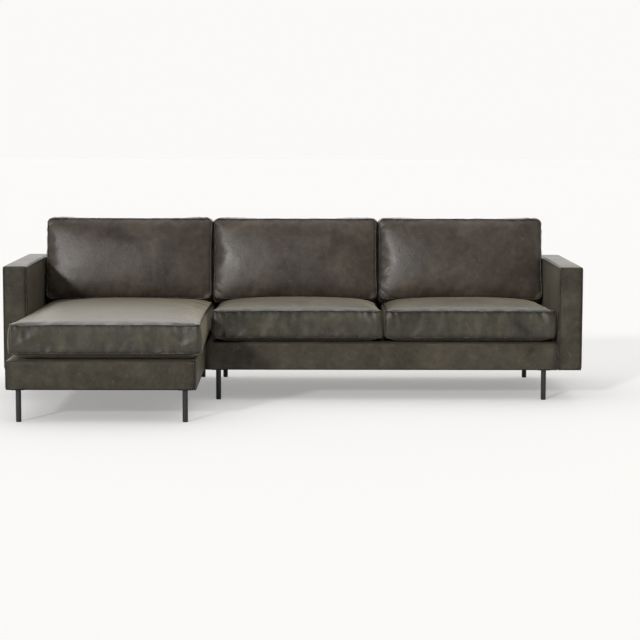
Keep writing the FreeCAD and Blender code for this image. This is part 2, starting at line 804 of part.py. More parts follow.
def back_cushions():
    """Three boxed back cushions that lean on the back's top edge and stand on the seats."""
    lean = math.radians(size("back_lean"))
    sine, cosine = math.sin(lean), math.cos(lean)
    radius = size("edge_radius")
    lower, upper = size("back_belly"), size("back_belly") + size("back_boxing")
    edge_y, edge_z = size("backrest_y") + radius, size("arm_height") - radius

    def rear_plane_at(height):
        """Where the plane that the rear lies on reaches a height, a rest gap off the back."""
        return edge_y - (radius + size("rest_gap") + (edge_z - height) * sine) / cosine

    floor = size("base_top") + size("seat_belly") + size("seat_boxing")
    for _ in range(4):
        floor = seat_height_at(rear_plane_at(floor) - upper / cosine) + size("rest_gap")
    top = (size("back_top") - floor - upper * sine) / cosine
    bottom = -upper * sine / cosine
    second = size("second_back_left")
    third = second + size("back_width") + size("back_cushion_gap")
    places = {
        "chaise_back": (size("back_left"), size("back_left") + size("chaise_back_width")),
        "left_back": (second, second + size("back_width")),
        "right_back": (third, third + size("back_width")),
    }
    placement = Placement(Vector(0, rear_plane_at(floor), floor),
                          Rotation(Vector(1, 0, 0), 90 - size("back_lean")))
    for name, (left, right) in places.items():
        corners = (Vector(left, bottom), Vector(right, top))

        def make_form(skin, drawn_in):
            draw = size("back_draw")
            return cushion_form(
                *corners, (lower, upper), (size("back_crown"), size("back_cross_crown")),
                size("back_belly"), size("back_belly_run"), 0, size("back_corner"),
                (0, draw, draw, draw), skin, drawn_in,
            )

        place_cushion(name + "_cushion", make_form, placement, floor)


def check_and_write():
    """Stop on any failed object, then write each sub-part to its own file."""
    doc.recompute()
    for part in doc.Objects:
        if "Invalid" in part.State or "Error" in part.State:
            raise RuntimeError(f"{part.Label} failed: {part.State}")
    os.makedirs("parts", exist_ok=True)
    for part in nodes:
        shape = part.Shape
        if shape.isNull() or not shape.isValid() or not shape.Solids:
            raise RuntimeError(f"{part.Label} has no valid solid")
    for part in nodes:
        part.Shape.exportStep(os.path.join("parts", part.Label + ".step"))
    print(f"{len(nodes)} sub-parts written")


for section_name in SECTIONS:
    base_frame(section_name)
    webbing(section_name)
    base_cover(section_name)
arms_and_backs()
legs()
connectors()
seat_cushions()
back_cushions()
check_and_write()
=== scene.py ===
"""Looks of a corner sofa in waxed leather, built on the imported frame.

The sofa is dressed from the floor up: legs, bases, arms, backs, seat cushions and back
cushions. Lengths are in metres.
"""

import logging
import math
from dataclasses import dataclass, field
from enum import Enum
from itertools import product
from typing import Callable, Iterable, Optional, Sequence

import bpy
import numpy as np
from mathutils import Matrix, Vector, noise


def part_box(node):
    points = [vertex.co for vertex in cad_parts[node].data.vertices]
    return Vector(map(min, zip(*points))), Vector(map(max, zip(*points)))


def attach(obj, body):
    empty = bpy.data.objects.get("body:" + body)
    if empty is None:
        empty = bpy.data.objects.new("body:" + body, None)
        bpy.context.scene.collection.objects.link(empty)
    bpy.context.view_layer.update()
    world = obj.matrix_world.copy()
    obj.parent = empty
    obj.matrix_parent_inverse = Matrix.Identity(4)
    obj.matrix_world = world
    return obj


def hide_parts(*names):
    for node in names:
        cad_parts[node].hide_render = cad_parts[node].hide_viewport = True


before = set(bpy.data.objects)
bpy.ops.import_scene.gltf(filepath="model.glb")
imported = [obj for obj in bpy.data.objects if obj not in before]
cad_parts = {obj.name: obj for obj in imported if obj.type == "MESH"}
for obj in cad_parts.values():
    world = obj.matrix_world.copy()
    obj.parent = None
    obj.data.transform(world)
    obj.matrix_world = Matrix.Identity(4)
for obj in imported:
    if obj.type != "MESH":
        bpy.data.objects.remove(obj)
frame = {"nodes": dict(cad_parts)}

log = logging.getLogger("corner_sofa")

MM = 0.001
TINY = 1e-9
LEG_DIAMETER = 0.025
# Distances from a cushion's seam that get a line of points of their own.
SEAM_LINES = (0.004, 0.011)
# Painted shade and dirt: how dark the leather is on a seam and in the rows beside it.
PAINTED_SEAM_SHADES = (1.0, 0.95, 0.35, 0.0)
# How sharp a seam stays when its mesh is subdivided, from 0 to 1.
SEAM_CREASE = 0.9
# Points with at least this value of the attribute seam are on one.
ON_SEAM = 0.98
# Folds reach this far below a cushion's upper seam.
CREASE_MARGIN = 0.01
PIPING_STEP = 0.006
# How far apart on the hide the panels are cut, across, along and deep.
HIDE_SPREAD = (3.7, 5.1, 2.3)
# What one step of a seed moves soft noise by.
NOISE_SHIFT = (7.31, 3.17, 5.43)
Point = tuple[float, float, float]
Place = tuple[float, float]
Node = bpy.types.Node
Tree = bpy.types.NodeTree
Socket = bpy.types.NodeSocket


# Colours and nodes


def linear(hex_colour: str) -> tuple[float, float, float, float]:
    """Turn an sRGB hex value into a linear colour.

    Args:
        hex_colour: Six hex digits, with or without a leading #.

    Returns:
        Linear red, green and blue, and full alpha.
    """
    digits = hex_colour.lstrip("#")
    parts = [int(digits[place:place + 2], 16) / 255 for place in (0, 2, 4)]
    turned = [c / 12.92 if c <= 0.04045 else ((c + 0.055) / 1.055) ** 2.4 for c in parts]
    return (turned[0], turned[1], turned[2], 1.0)


def add_node(tree: Tree, kind: str, settings: Optional[dict] = None,
             inputs: Optional[dict] = None) -> Node:
    """Add a node with its settings and its inputs, each a value or a socket to link from.

    Args:
        tree: The tree that gets the node.
        kind: The node's type name.
        settings: Properties of the node, by name.
        inputs: Values or output sockets, by input name or number.

    Returns:
        The new node.
    """
    node = tree.nodes.new(kind)
    for name, value in (settings or {}).items():
        setattr(node, name, value)
    for key, value in (inputs or {}).items():
        socket = node.inputs[key]
        if isinstance(value, Socket):
            tree.links.new(value, socket)
        else:
            socket.default_value = value
    return node


def set_ramp(node: Node, stops: Sequence[tuple[float, tuple]]) -> None:
    """Give a colour ramp its stops.

    Args:
        node: The ramp node.
        stops: Places from 0 to 1, each with a linear colour.
    """
    ramp = node.color_ramp
    while len(ramp.elements) < len(stops):
        ramp.elements.new(1.0)
    for element, (place, colour) in zip(ramp.elements, stops):
        element.position = place
        element.color = colour


def grey(value: float) -> tuple[float, float, float, float]:
    """Give an even grey as a colour."""
    return (value, value, value, 1.0)


def new_material(name: str) -> tuple[bpy.types.Material, Tree, Node, Node]:
    """Make a material with its shader linked to its output.

    Args:
        name: The material's name.

    Returns:
        The material, its tree, its shader node and its coordinates node.
    """
    material = bpy.data.materials.new(name)
    material.use_nodes = True
    tree = material.node_tree
    tree.nodes.clear()
    output = add_node(tree, "ShaderNodeOutputMaterial")
    shader = add_node(tree, "ShaderNodeBsdfPrincipled")
    tree.links.new(shader.outputs["BSDF"], output.inputs["Surface"])
    return material, tree, shader, add_node(tree, "ShaderNodeTexCoord")


# Finishes


@dataclass(frozen=True)
class WaxedLeather:
    """Waxed cow hide: dyed through, oiled and buffed by hand.

    The wax gives a cloudy, uneven colour with lighter rubbed places and a low shine that is
    broken up by the grain.
    """

    name: str
    dark: str = "#27241b"
    middle: str = "#3c382b"
    light: str = "#57503d"
    rust: str = "#4c3b2a"
    scuff: str = "#6f6755"
    # Colour of the painted shade and dirt in the seams.
    sunk: str = "#0d0c09"
    roughness: float = 0.42
    cloud_mm: float = 190.0
    rub_mm: float = 30.0
    scuff_mm: float = 75.0
    # Real grain is about 1 mm. It is drawn at 4 mm so that it shows from across a room.
    grain_mm: float = 4.0
    crease_mm: float = 30.0
    relief_mm: float = 0.9
    sheen: float = 0.4
    shine: float = 0.5
    # Rust flecks in the width of one cloud.
    flecks_per_cloud: float = 2.6
    # How far the rubbed places move the tone that the clouds give.
    rub_share: float = 0.42
    # Tones at which the leather is dark, middle and light.
    tones: Point = (0.28, 0.52, 0.86)
    # Where the noise of flecks and scuffs begins to show and is full, and how much it covers.
    fleck_reach: Point = (0.54, 0.74, 0.45)
    scuff_reach: Point = (0.6, 0.76, 0.34)
    # How far the painted shade and dirt at a seam darken the leather.
    painted_seam_shade: float = 0.75
    # Tones between which the roughness grows, and how far it lies below and above its middle.
    gloss_span: Place = (0.25, 0.8)
    polish: float = 0.05
    wear: float = 0.1
    # Height of a crease against the height of the grain.
    crease_share: float = 2.2

    def make(self) -> bpy.types.Material:
        """Build the material.

        Returns:
            The leather, which reads the attributes hide, a place on the hide for each panel,
            and shade, from 0 on plain leather to 1 where painted shade and dirt darken it at a
            seam.
        """
        material, tree, shader, coords = new_material(self.name)
        hide = add_node(tree, "ShaderNodeAttribute", {"attribute_name": "hide"})
        moved = add_node(tree, "ShaderNodeVectorMath", {"operation": "MULTIPLY_ADD"},
                         {0: hide.outputs["Vector"], 1: HIDE_SPREAD,
                          2: coords.outputs["Object"]})
        place = moved.outputs[0]
        tone = self._tone(tree, place)
        tree.links.new(self._colour(tree, place, tone), shader.inputs["Base Color"])
        gloss = add_node(tree, "ShaderNodeMapRange", None,
                         {"Value": tone, "From Min": self.gloss_span[0],
                          "From Max": self.gloss_span[1],
                          "To Min": self.roughness - self.polish,
                          "To Max": self.roughness + self.wear})
        tree.links.new(gloss.outputs["Result"], shader.inputs["Roughness"])
        tree.links.new(self._relief(tree, place), shader.inputs["Normal"])
        shader.inputs["IOR"].default_value = 1.48
        shader.inputs["Specular IOR Level"].default_value = self.shine
        shader.inputs["Sheen Weight"].default_value = self.sheen
        shader.inputs["Sheen Roughness"].default_value = 0.35
        shader.inputs["Sheen Tint"].default_value = linear("#e8dcc0")
        return material

    def _tone(self, tree: Tree, place: Socket) -> Socket:
        """Mix wide clouds of wax with smaller rubbed places.

        Args:
            tree: The material's tree.
            place: The socket with each point's place on the hide.

        Returns:
            The socket with the tone, about 0.3 to 0.8.
        """
        clouds = add_node(tree, "ShaderNodeTexNoise", None,
                          {"Vector": place, "Scale": 1000 / self.cloud_mm, "Detail": 5.0,
                           "Roughness": 0.62, "Distortion": 0.5})
        rubs = add_node(tree, "ShaderNodeTexNoise", None,
                        {"Vector": place, "Scale": 1000 / self.rub_mm, "Detail": 4.0,
                         "Roughness": 0.6})
        moved = add_node(tree, "ShaderNodeMath", {"operation": "MULTIPLY_ADD"},
                         {0: rubs.outputs["Fac"], 1: self.rub_share, 2: -self.rub_share / 2})
        mixed = add_node(tree, "ShaderNodeMath", {"operation": "ADD"},
                         {0: clouds.outputs["Fac"], 1: moved.outputs[0]})
        return mixed.outputs[0]

    def _colour(self, tree: Tree, place: Socket, tone: Socket) -> Socket:
        """Colour the hide, with rust flecks, pale scuffs and painted shade and dirt at the seams.

        Args:
            tree: The material's tree.
            place: The socket with each point's place on the hide.
            tone: The socket with the tone.

        Returns:
            The socket with the colour.
        """
        dyed = add_node(tree, "ShaderNodeValToRGB", None, {"Fac": tone})
        dyes = (self.dark, self.middle, self.light)
        set_ramp(dyed, [(level, linear(dye)) for level, dye in zip(self.tones, dyes)])
        colour = dyed.outputs["Color"]
        marks = ((self.rust, self.fleck_reach,
                  {"Scale": 1000 * self.flecks_per_cloud / self.cloud_mm, "Detail": 6.0,
                   "Roughness": 0.7, "Distortion": 1.2}),
                 (self.scuff, self.scuff_reach,
                  {"Scale": 1000 / self.scuff_mm, "Detail": 3.5, "Roughness": 0.6,
                   "Distortion": 4.0}))
        for mark, (start, full, cover), pattern in marks:
            spots = add_node(tree, "ShaderNodeTexNoise", None, {"Vector": place, **pattern})
            shown = add_node(tree, "ShaderNodeValToRGB", None, {"Fac": spots.outputs["Fac"]})
            set_ramp(shown, [(start, grey(0.0)), (full, grey(cover))])
            marked = add_node(tree, "ShaderNodeMix", {"data_type": "RGBA"},
                              {"Factor": shown.outputs["Color"], 6: colour, 7: linear(mark)})
            colour = marked.outputs[2]
        # Painted shade and dirt: darken towards the seam colour where the attribute shade is
        # high.
        shade = add_node(tree, "ShaderNodeAttribute", {"attribute_name": "shade"})
        depth = add_node(tree, "ShaderNodeMath", {"operation": "MULTIPLY"},
                         {0: shade.outputs["Fac"], 1: self.painted_seam_shade})
        shaded = add_node(tree, "ShaderNodeMix", {"data_type": "RGBA"},
                          {"Factor": depth.outputs[0], 6: colour, 7: linear(self.sunk)})
        return shaded.outputs[2]

    def _relief(self, tree: Tree, place: Socket) -> Socket:
        """Raise the pebbles of the grain, with soft creases between them.

        Args:
            tree: The material's tree.
            place: The socket with each point's place on the hide.

        Returns:
            The socket with the normal.
        """
        pebbles = add_node(tree, "ShaderNodeTexVoronoi", {"feature": "SMOOTH_F1"},
                           {"Vector": place, "Scale": 1000 / self.grain_mm, "Smoothness": 0.7})
        creases = add_node(tree, "ShaderNodeTexNoise", None,
                           {"Vector": place, "Scale": 1000 / self.crease_mm, "Detail": 3.0,
                            "Roughness": 0.55, "Distortion": 1.5})
        relief = add_node(tree, "ShaderNodeMath", {"operation": "MULTIPLY_ADD"},
                          {0: creases.outputs["Fac"], 1: self.crease_share,
                           2: pebbles.outputs["Distance"]})
        bump = add_node(tree, "ShaderNodeBump", None,
                        {"Strength": 0.35, "Distance": self.relief_mm * MM,
                         "Height": relief.outputs[0]})
        return bump.outputs["Normal"]


@dataclass(frozen=True)
class WaxedThread:
    """Pale waxed sewing thread, darkened where the strands twist."""

    name: str = "waxed_thread"
    colour: str = "#a89e84"
    shade: str = "#6f6752"
    twist_mm: float = 1.5

    def make(self) -> bpy.types.Material:
        """Build the material.

        Returns:
            The thread.
        """
        material, tree, shader, coords = new_material(self.name)
        twist = add_node(tree, "ShaderNodeTexNoise", None,
                         {"Vector": coords.outputs["Object"], "Scale": 1000 / self.twist_mm})
        ramp = add_node(tree, "ShaderNodeValToRGB", None, {"Fac": twist.outputs["Fac"]})
        set_ramp(ramp, [(0.35, linear(self.shade)), (0.6, linear(self.colour))])
        tree.links.new(ramp.outputs["Color"], shader.inputs["Base Color"])
        shader.inputs["Roughness"].default_value = 0.7
        return material


@dataclass(frozen=True)
class PowderCoatedSteel:
    """Mild steel tube with a matt black powder coat, which leaves a fine orange peel."""

    name: str = "powder_coated_steel"
    colour: str = "#1c1c1d"
    pale: str = "#2a2a2b"
    peel_mm: float = 1.5

    def make(self) -> bpy.types.Material:
        """Build the material.

        Returns:
            The coated steel.
        """
        material, tree, shader, coords = new_material(self.name)
        peel = add_node(tree, "ShaderNodeTexNoise", None,
                        {"Vector": coords.outputs["Object"], "Scale": 1000 / self.peel_mm,
                         "Detail": 2.0})
        ramp = add_node(tree, "ShaderNodeValToRGB", None, {"Fac": peel.outputs["Fac"]})
        set_ramp(ramp, [(0.3, linear(self.colour)), (0.75, linear(self.pale))])
        bump = add_node(tree, "ShaderNodeBump", None,
                        {"Strength": 0.2, "Distance": 0.1 * MM, "Height": peel.outputs["Fac"]})
        tree.links.new(ramp.outputs["Color"], shader.inputs["Base Color"])
        tree.links.new(bump.outputs["Normal"], shader.inputs["Normal"])
        shader.inputs["Roughness"].default_value = 0.45
        return material


@dataclass(frozen=True)
class MouldedPolyethylene:
    """Black injection moulded polyethylene, as in furniture glides: waxy with a faint texture."""

    name: str = "moulded_polyethylene"
    colour: str = "#191919"
    pale: str = "#242424"
    spark_mm: float = 0.8

    def make(self) -> bpy.types.Material:
        """Build the material.

        Returns:
            The moulded plastic.
        """
        material, tree, shader, coords = new_material(self.name)
        spark = add_node(tree, "ShaderNodeTexNoise", None,
                         {"Vector": coords.outputs["Object"], "Scale": 1000 / self.spark_mm})
        ramp = add_node(tree, "ShaderNodeValToRGB", None, {"Fac": spark.outputs["Fac"]})
        set_ramp(ramp, [(0.35, linear(self.colour)), (0.7, linear(self.pale))])
        tree.links.new(ramp.outputs["Color"], shader.inputs["Base Color"])
        shader.inputs["Roughness"].default_value = 0.5
        return material


@dataclass(frozen=True)
class ZincPlatedSteel:
    """Pressed steel with bright zinc plating: pale, slightly blue and faintly spangled."""

    name: str = "zinc_plated_steel"
    colour: str = "#a9adb2"
    shade: str = "#8b9095"
    spangle_mm: float = 6.0

    def make(self) -> bpy.types.Material:
        """Build the material.

        Returns:
            The plated steel.
        """
        material, tree, shader, coords = new_material(self.name)
        spangle = add_node(tree, "ShaderNodeTexVoronoi", None,
                           {"Vector": coords.outputs["Object"],
                            "Scale": 1000 / self.spangle_mm})
        ramp = add_node(tree, "ShaderNodeValToRGB", None,
                        {"Fac": spangle.outputs["Distance"]})
        set_ramp(ramp, [(0.1, linear(self.shade)), (0.8, linear(self.colour))])
        tree.links.new(ramp.outputs["Color"], shader.inputs["Base Color"])
        shader.inputs["Metallic"].default_value = 1.0
        shader.inputs["Roughness"].default_value = 0.32
        return material


@dataclass(frozen=True)
class SawnPine:
    """Planed pine for upholstery frames: straight growth rings along the board."""

    name: str
    early: str = "#d9bd8b"
    late: str = "#b98d55"
    ring_mm: float = 5.0
    rings_per_cloud: float = 6.0
    # How far the rings' sine turns, in radians, from the noise's lowest to its highest.
    ring_turns: float = 18.0
    stretch: Point = (1.0, 1.0, 0.08)

    def make(self) -> bpy.types.Material:
        """Build the material.

        Returns:
            The wood, with its rings drawn out along the stretched axis.
        """
        material, tree, shader, coords = new_material(self.name)
        drawn = add_node(tree, "ShaderNodeMapping", None,
                         {"Vector": coords.outputs["Object"], "Scale": self.stretch})
        rings = add_node(tree, "ShaderNodeTexNoise", None,
                         {"Vector": drawn.outputs["Vector"],
                          "Scale": 1000 / (self.ring_mm * self.rings_per_cloud),
                          "Detail": 4.0, "Distortion": 0.6})
        waves = add_node(tree, "ShaderNodeMath", {"operation": "MULTIPLY"},
                         {0: rings.outputs["Fac"], 1: self.ring_turns})
        sine = add_node(tree, "ShaderNodeMath", {"operation": "SINE"}, {0: waves.outputs[0]})
        ramp = add_node(tree, "ShaderNodeValToRGB", None, {"Fac": sine.outputs[0]})
        set_ramp(ramp, [(0.2, linear(self.early)), (0.95, linear(self.late))])
        tree.links.new(ramp.outputs["Color"], shader.inputs["Base Color"])
        shader.inputs["Roughness"].default_value = 0.62
        return material


@dataclass(frozen=True)
class WovenBand:
    """A plain weave of polypropylene yarn, as in elastic webbing and black deck cloth."""

    name: str
    warp: str
    weft: str
    thread_mm: float = 2.0
    roughness: float = 0.85

    def make(self) -> bpy.types.Material:
        """Build the material.

        Returns:
            The cloth, its threads crossing along X and Y.
        """
        material, tree, shader, coords = new_material(self.name)
        apart = add_node(tree, "ShaderNodeSeparateXYZ", None,
                         {"Vector": coords.outputs["Object"]})
        waves = []
        for axis in ("X", "Y"):
            turn = add_node(tree, "ShaderNodeMath", {"operation": "MULTIPLY"},
                            {0: apart.outputs[axis], 1: 1000 * math.pi / self.thread_mm})
            waves.append(add_node(tree, "ShaderNodeMath", {"operation": "SINE"},
                                  {0: turn.outputs[0]}))
        crossed = add_node(tree, "ShaderNodeMath", {"operation": "MULTIPLY"},
                           {0: waves[0].outputs[0], 1: waves[1].outputs[0]})
        height = add_node(tree, "ShaderNodeMath", {"operation": "MULTIPLY_ADD"},
                          {0: crossed.outputs[0], 1: 0.5, 2: 0.5})
        ramp = add_node(tree, "ShaderNodeValToRGB", None, {"Fac": height.outputs[0]})
        set_ramp(ramp, [(0.3, linear(self.warp)), (0.7, linear(self.weft))])
        bump = add_node(tree, "ShaderNodeBump", None,
                        {"Strength": 0.4, "Distance": 0.3 * MM, "Height": height.outputs[0]})
        tree.links.new(ramp.outputs["Color"], shader.inputs["Base Color"])
        tree.links.new(bump.outputs["Normal"], shader.inputs["Normal"])
        shader.inputs["Roughness"].default_value = self.roughness
        return material


class Slot(Enum):
    """Names of the record's material slots; each cloth picks one for its fixing, and nothing
    reads it.
    """

    LEATHER = "leather"
    LINING = "lining"
    STAPLES = "zinc_steel"


@dataclass
class Finishes:
    """Every material of the sofa, made once."""

    seat: bpy.types.Material = field(init=False)
    back: bpy.types.Material = field(init=False)
    body: bpy.types.Material = field(init=False)
    piping: bpy.types.Material = field(init=False)
    thread: bpy.types.Material = field(init=False)
    steel: bpy.types.Material = field(init=False)
    plastic: bpy.types.Material = field(init=False)
    zinc: bpy.types.Material = field(init=False)
    pine: bpy.types.Material = field(init=False)
    board: bpy.types.Material = field(init=False)
    cloth: bpy.types.Material = field(init=False)
    webbing: bpy.types.Material = field(init=False)

    def __post_init__(self) -> None:
        """Make each material."""
        self.seat = WaxedLeather("waxed_leather_seats").make()
        self.back = WaxedLeather("waxed_leather_backs", dark="#38312b", middle="#4a4138",
                                 light="#62574a", rust="#4a3c30", roughness=0.38,
                                 sheen=0.12).make()
        self.body = WaxedLeather("waxed_leather_body", dark="#322e25", middle="#444036",
                                 light="#5c5546", roughness=0.48, sheen=0.14, shine=0.22).make()
        # The piping's dyes are darker than the body's as painted shade along the seams; its light
        # rubbed places are wear.
        self.piping = WaxedLeather("waxed_leather_piping_with_painted_shade", dark="#1c1914", middle="#2d2921",
                                   light="#6d6452", roughness=0.4, cloud_mm=70.0,
                                   rub_mm=12.0, sheen=0.0).make()
        self.thread = WaxedThread().make()
        self.steel = PowderCoatedSteel().make()
        self.plastic = MouldedPolyethylene().make()
        self.zinc = ZincPlatedSteel().make()
        self.pine = SawnPine("sawn_pine").make()
        self.board = SawnPine("birch_plywood", early="#d8bf95", late="#c5a574",
                              ring_mm=9.0, stretch=(0.3, 0.3, 1.0)).make()
        self.cloth = WovenBand("black_deck_cloth", "#161616", "#232323").make()
        self.webbing = WovenBand("elastic_webbing", "#1d1a18", "#3a332c", 3.0).make()


# Mesh helpers


def mesh_object(name: str, points: np.ndarray, faces: Sequence[Sequence[int]],
                edges: Sequence[tuple[int, int]] = ()) -> bpy.types.Object:
    """Make a mesh object from its points and faces and link it.

    Args:
        name: The piece's name.
        points: One row of x, y and z for each point.
        faces: Point numbers round each face.
        edges: Extra edges, for a path with no faces.

    Returns:
        The new object, at the origin.
    """
    mesh = bpy.data.meshes.new(name)
    mesh.from_pydata([tuple(p) for p in points], list(edges), list(faces))
    mesh.validate()
    piece = bpy.data.objects.new(name, mesh)
    bpy.context.scene.collection.objects.link(piece)
    for polygon in mesh.polygons:
        polygon.use_smooth = True
    return piece


def read_points(mesh: bpy.types.Mesh) -> np.ndarray:
    """Read a mesh's points.

    Args:
        mesh: The mesh.

    Returns:
        Rows of x, y and z.
    """
    flat = np.empty(len(mesh.vertices) * 3, np.float32)
    mesh.vertices.foreach_get("co", flat)
    return flat.reshape(-1, 3).astype(float)


def read_normals(mesh: bpy.types.Mesh) -> np.ndarray:
    """Read the directions in which a mesh's points face.

    Args:
        mesh: The mesh.

    Returns:
        Rows of x, y and z, each of length 1.
    """
    flat = np.empty(len(mesh.vertices) * 3, np.float32)
    mesh.vertices.foreach_get("normal", flat)
    return flat.reshape(-1, 3)


def read_values(mesh: bpy.types.Mesh, name: str) -> np.ndarray:
    """Read the numbers stored for each point under a name."""
    return np.array([item.value for item in mesh.attributes[name].data])


def write_points(mesh: bpy.types.Mesh, points: np.ndarray) -> None:
    """Write a mesh's points from rows of x, y and z."""
    mesh.vertices.foreach_set("co", points.astype(np.float32).ravel())
    mesh.update()


def set_values(mesh: bpy.types.Mesh, name: str, values: np.ndarray) -> None:
    """Store one number for each point under a name."""
    attribute = mesh.attributes.new(name, "FLOAT", "POINT")
    attribute.data.foreach_set("value", values.astype(np.float32))


def set_places(mesh: bpy.types.Mesh, panels: np.ndarray, seed: int) -> None:
    """Give each panel its own place on the hide.

    Args:
        mesh: The mesh that gets the attribute hide.
        panels: A panel number for each face.
        seed: Start of the random places.
    """
    random = np.random.default_rng(seed)
    places = random.uniform(-4, 4, (int(panels.max()) + 1, 3))
    attribute = mesh.attributes.new("hide", "FLOAT_VECTOR", "FACE")
    attribute.data.foreach_set("vector", places[panels].astype(np.float32).ravel())


def soft_noise(points: np.ndarray, wavelength: float, seed: float) -> np.ndarray:
    """Read smooth noise from about -1 to 1 at each point.

    Args:
        points: Rows of x, y and z.
        wavelength: Rough distance between two crests.
        seed: Moves the noise.

    Returns:
        One number for each point.
    """
    shift = Vector([seed * step for step in NOISE_SHIFT])
    return np.array([noise.noise(Vector(p) / wavelength + shift) for p in points])


def spaced(length: float, step: float, edge: Sequence[float]) -> np.ndarray:
    """Divide a length evenly, with its own finer steps at both ends.

    Args:
        length: The whole length.
        step: The step away from the ends.
        edge: Distances from each end that get a line of their own, in growing order.

    Returns:
        Places from 0 to 1.
    """
    start = edge[-1]
    count = max(1, round((length - 2 * start) / step))
    inner = np.linspace(start, length - start, count + 1)
    ends = np.array([0.0, *edge[:-1]])
    return np.concatenate([ends, inner, length - ends[::-1]]) / length


# Piping and stitches, which follow a path


class PathKind(Enum):
    """What follows a path."""

    PIPING = "piping"
    STITCHES = "stitches"


@dataclass
class PathMaker:
    """Geometry Nodes that lay piping or stitches along the edges of a mesh."""

    kind: PathKind

    def tree(self) -> Tree:
        """Build the node tree, or find it where it was made before.

        Returns:
            A tree with the inputs Radius, Step, Length and Finish.
        """
        name = "along_path_" + self.kind.value
        made = bpy.data.node_groups.get(name)
        if made:
            return made
        tree = bpy.data.node_groups.new(name, "GeometryNodeTree")
        face = tree.interface
        face.new_socket("Geometry", in_out="INPUT", socket_type="NodeSocketGeometry")
        for label in ("Radius", "Step", "Length"):
            face.new_socket(label, in_out="INPUT", socket_type="NodeSocketFloat")
        face.new_socket("Finish", in_out="INPUT", socket_type="NodeSocketMaterial")
        face.new_socket("Geometry", in_out="OUTPUT", socket_type="NodeSocketGeometry")
        given = add_node(tree, "NodeGroupInput")
        curve = add_node(tree, "GeometryNodeMeshToCurve", None,
                         {"Mesh": given.outputs["Geometry"]})
        even = add_node(tree, "GeometryNodeResampleCurve", {"mode": "LENGTH"},
                        {"Curve": curve.outputs["Curve"], "Length": given.outputs["Step"]})
        if self.kind is PathKind.PIPING:
            shape = self._tube(tree, given, even)
        else:
            shape = self._stitches(tree, given, even)
        real = add_node(tree, "GeometryNodeRealizeInstances", None, {"Geometry": shape})
        smooth = add_node(tree, "GeometryNodeSetShadeSmooth", None,
                          {"Geometry": real.outputs["Geometry"]})
        dressed = add_node(tree, "GeometryNodeSetMaterial", None,
                           {"Geometry": smooth.outputs["Geometry"],
                            "Material": given.outputs["Finish"]})
        add_node(tree, "NodeGroupOutput", None, {"Geometry": dressed.outputs["Geometry"]})
        return tree

    def _tube(self, tree: Tree, given: Node, even: Node) -> Socket:
        """Sweep a round section along the path.

        Args:
            tree: The tree being built.
            given: Its group input.
            even: The node that gives the even path.

        Returns:
            The socket with the tube.
        """
        ring = add_node(tree, "GeometryNodeCurvePrimitiveCircle", None,
                        {"Resolution": 8, "Radius": given.outputs["Radius"]})
        swept = add_node(tree, "GeometryNodeCurveToMesh", None,
                         {"Curve": even.outputs["Curve"],
                          "Profile Curve": ring.outputs["Curve"], "Fill Caps": True})
        return swept.outputs["Mesh"]

    def _stitches(self, tree: Tree, given: Node, even: Node) -> Socket:
        """Set one short thread at each step of the path.

        Args:
            tree: The tree being built.
            given: Its group input.
            even: The node that gives the even path.

        Returns:
            The socket with the stitches.
        """
        bead = add_node(tree, "GeometryNodeMeshUVSphere", None,
                        {"Segments": 6, "Rings": 5, "Radius": given.outputs["Radius"]})
        share = add_node(tree, "ShaderNodeMath", {"operation": "DIVIDE"},
                         {0: given.outputs["Length"], 1: given.outputs["Radius"]})
        long = add_node(tree, "ShaderNodeMath", {"operation": "MULTIPLY"},
                        {0: share.outputs[0], 1: 0.5})
        scale = add_node(tree, "ShaderNodeCombineXYZ", None,
                         {"X": 1.0, "Y": 1.0, "Z": long.outputs[0]})
        tangent = add_node(tree, "GeometryNodeInputTangent")
        aim = add_node(tree, "FunctionNodeAlignRotationToVector", {"axis": "Z"},
                       {"Vector": tangent.outputs["Tangent"]})
        points = add_node(tree, "GeometryNodeCurveToPoints", {"mode": "EVALUATED"},
                          {"Curve": even.outputs["Curve"]})
        placed = add_node(tree, "GeometryNodeInstanceOnPoints", None,
                          {"Points": points.outputs["Points"],
                           "Instance": bead.outputs["Mesh"],
                           "Rotation": aim.outputs["Rotation"],
                           "Scale": scale.outputs["Vector"]})
        return placed.outputs["Instances"]

    def lay(self, name: str, paths: Iterable[np.ndarray], closed: bool, radius: float,
            step: float, length: float, finish: bpy.types.Material) -> bpy.types.Object:
        """Lay the piping or stitches along some paths, as one plain mesh.

        Args:
            name: The piece's name.
            paths: Rows of points, one array for each path.
            closed: Whether each path comes back to its start.
            radius: Radius of the piping or thread.
            step: Distance between the points or stitches.
            length: Length of one stitch.
            finish: The material.

        Returns:
            The finished piece, with no modifier left.
        """
        points, edges, count = [], [], 0
        for path in paths:
            size = len(path)
            points.append(path)
            edges += [(count + i, count + i + 1) for i in range(size - 1)]
            if closed:
                edges.append((count + size - 1, count))
            count += size
        host = mesh_object(name + "_path", np.concatenate(points), [], edges)
        modifier = host.modifiers.new("along", "NODES")
        tree = self.tree()
        keys = {item.name: item.identifier for item in tree.interface.items_tree
                if item.in_out == "INPUT"}
        modifier.node_group = tree
        for label, value in (("Radius", radius), ("Step", step), ("Length", length),
                             ("Finish", finish)):
            modifier[keys[label]] = value
        plain = evaluated_mesh(host, name)
        bpy.data.objects.remove(host)
        piece = bpy.data.objects.new(name, plain)
        bpy.context.scene.collection.objects.link(piece)
        return piece


def evaluated_mesh(piece: bpy.types.Object, name: str) -> bpy.types.Mesh:
    """Turn a piece and its modifiers into one plain mesh.

    Args:
        piece: The piece with its modifiers.
        name: The new mesh's name.

    Returns:
        The plain mesh.
    """
    bpy.context.view_layer.update()
    graph = bpy.context.evaluated_depsgraph_get()
    mesh = bpy.data.meshes.new_from_object(piece.evaluated_get(graph), depsgraph=graph)
    mesh.name = name
    return mesh


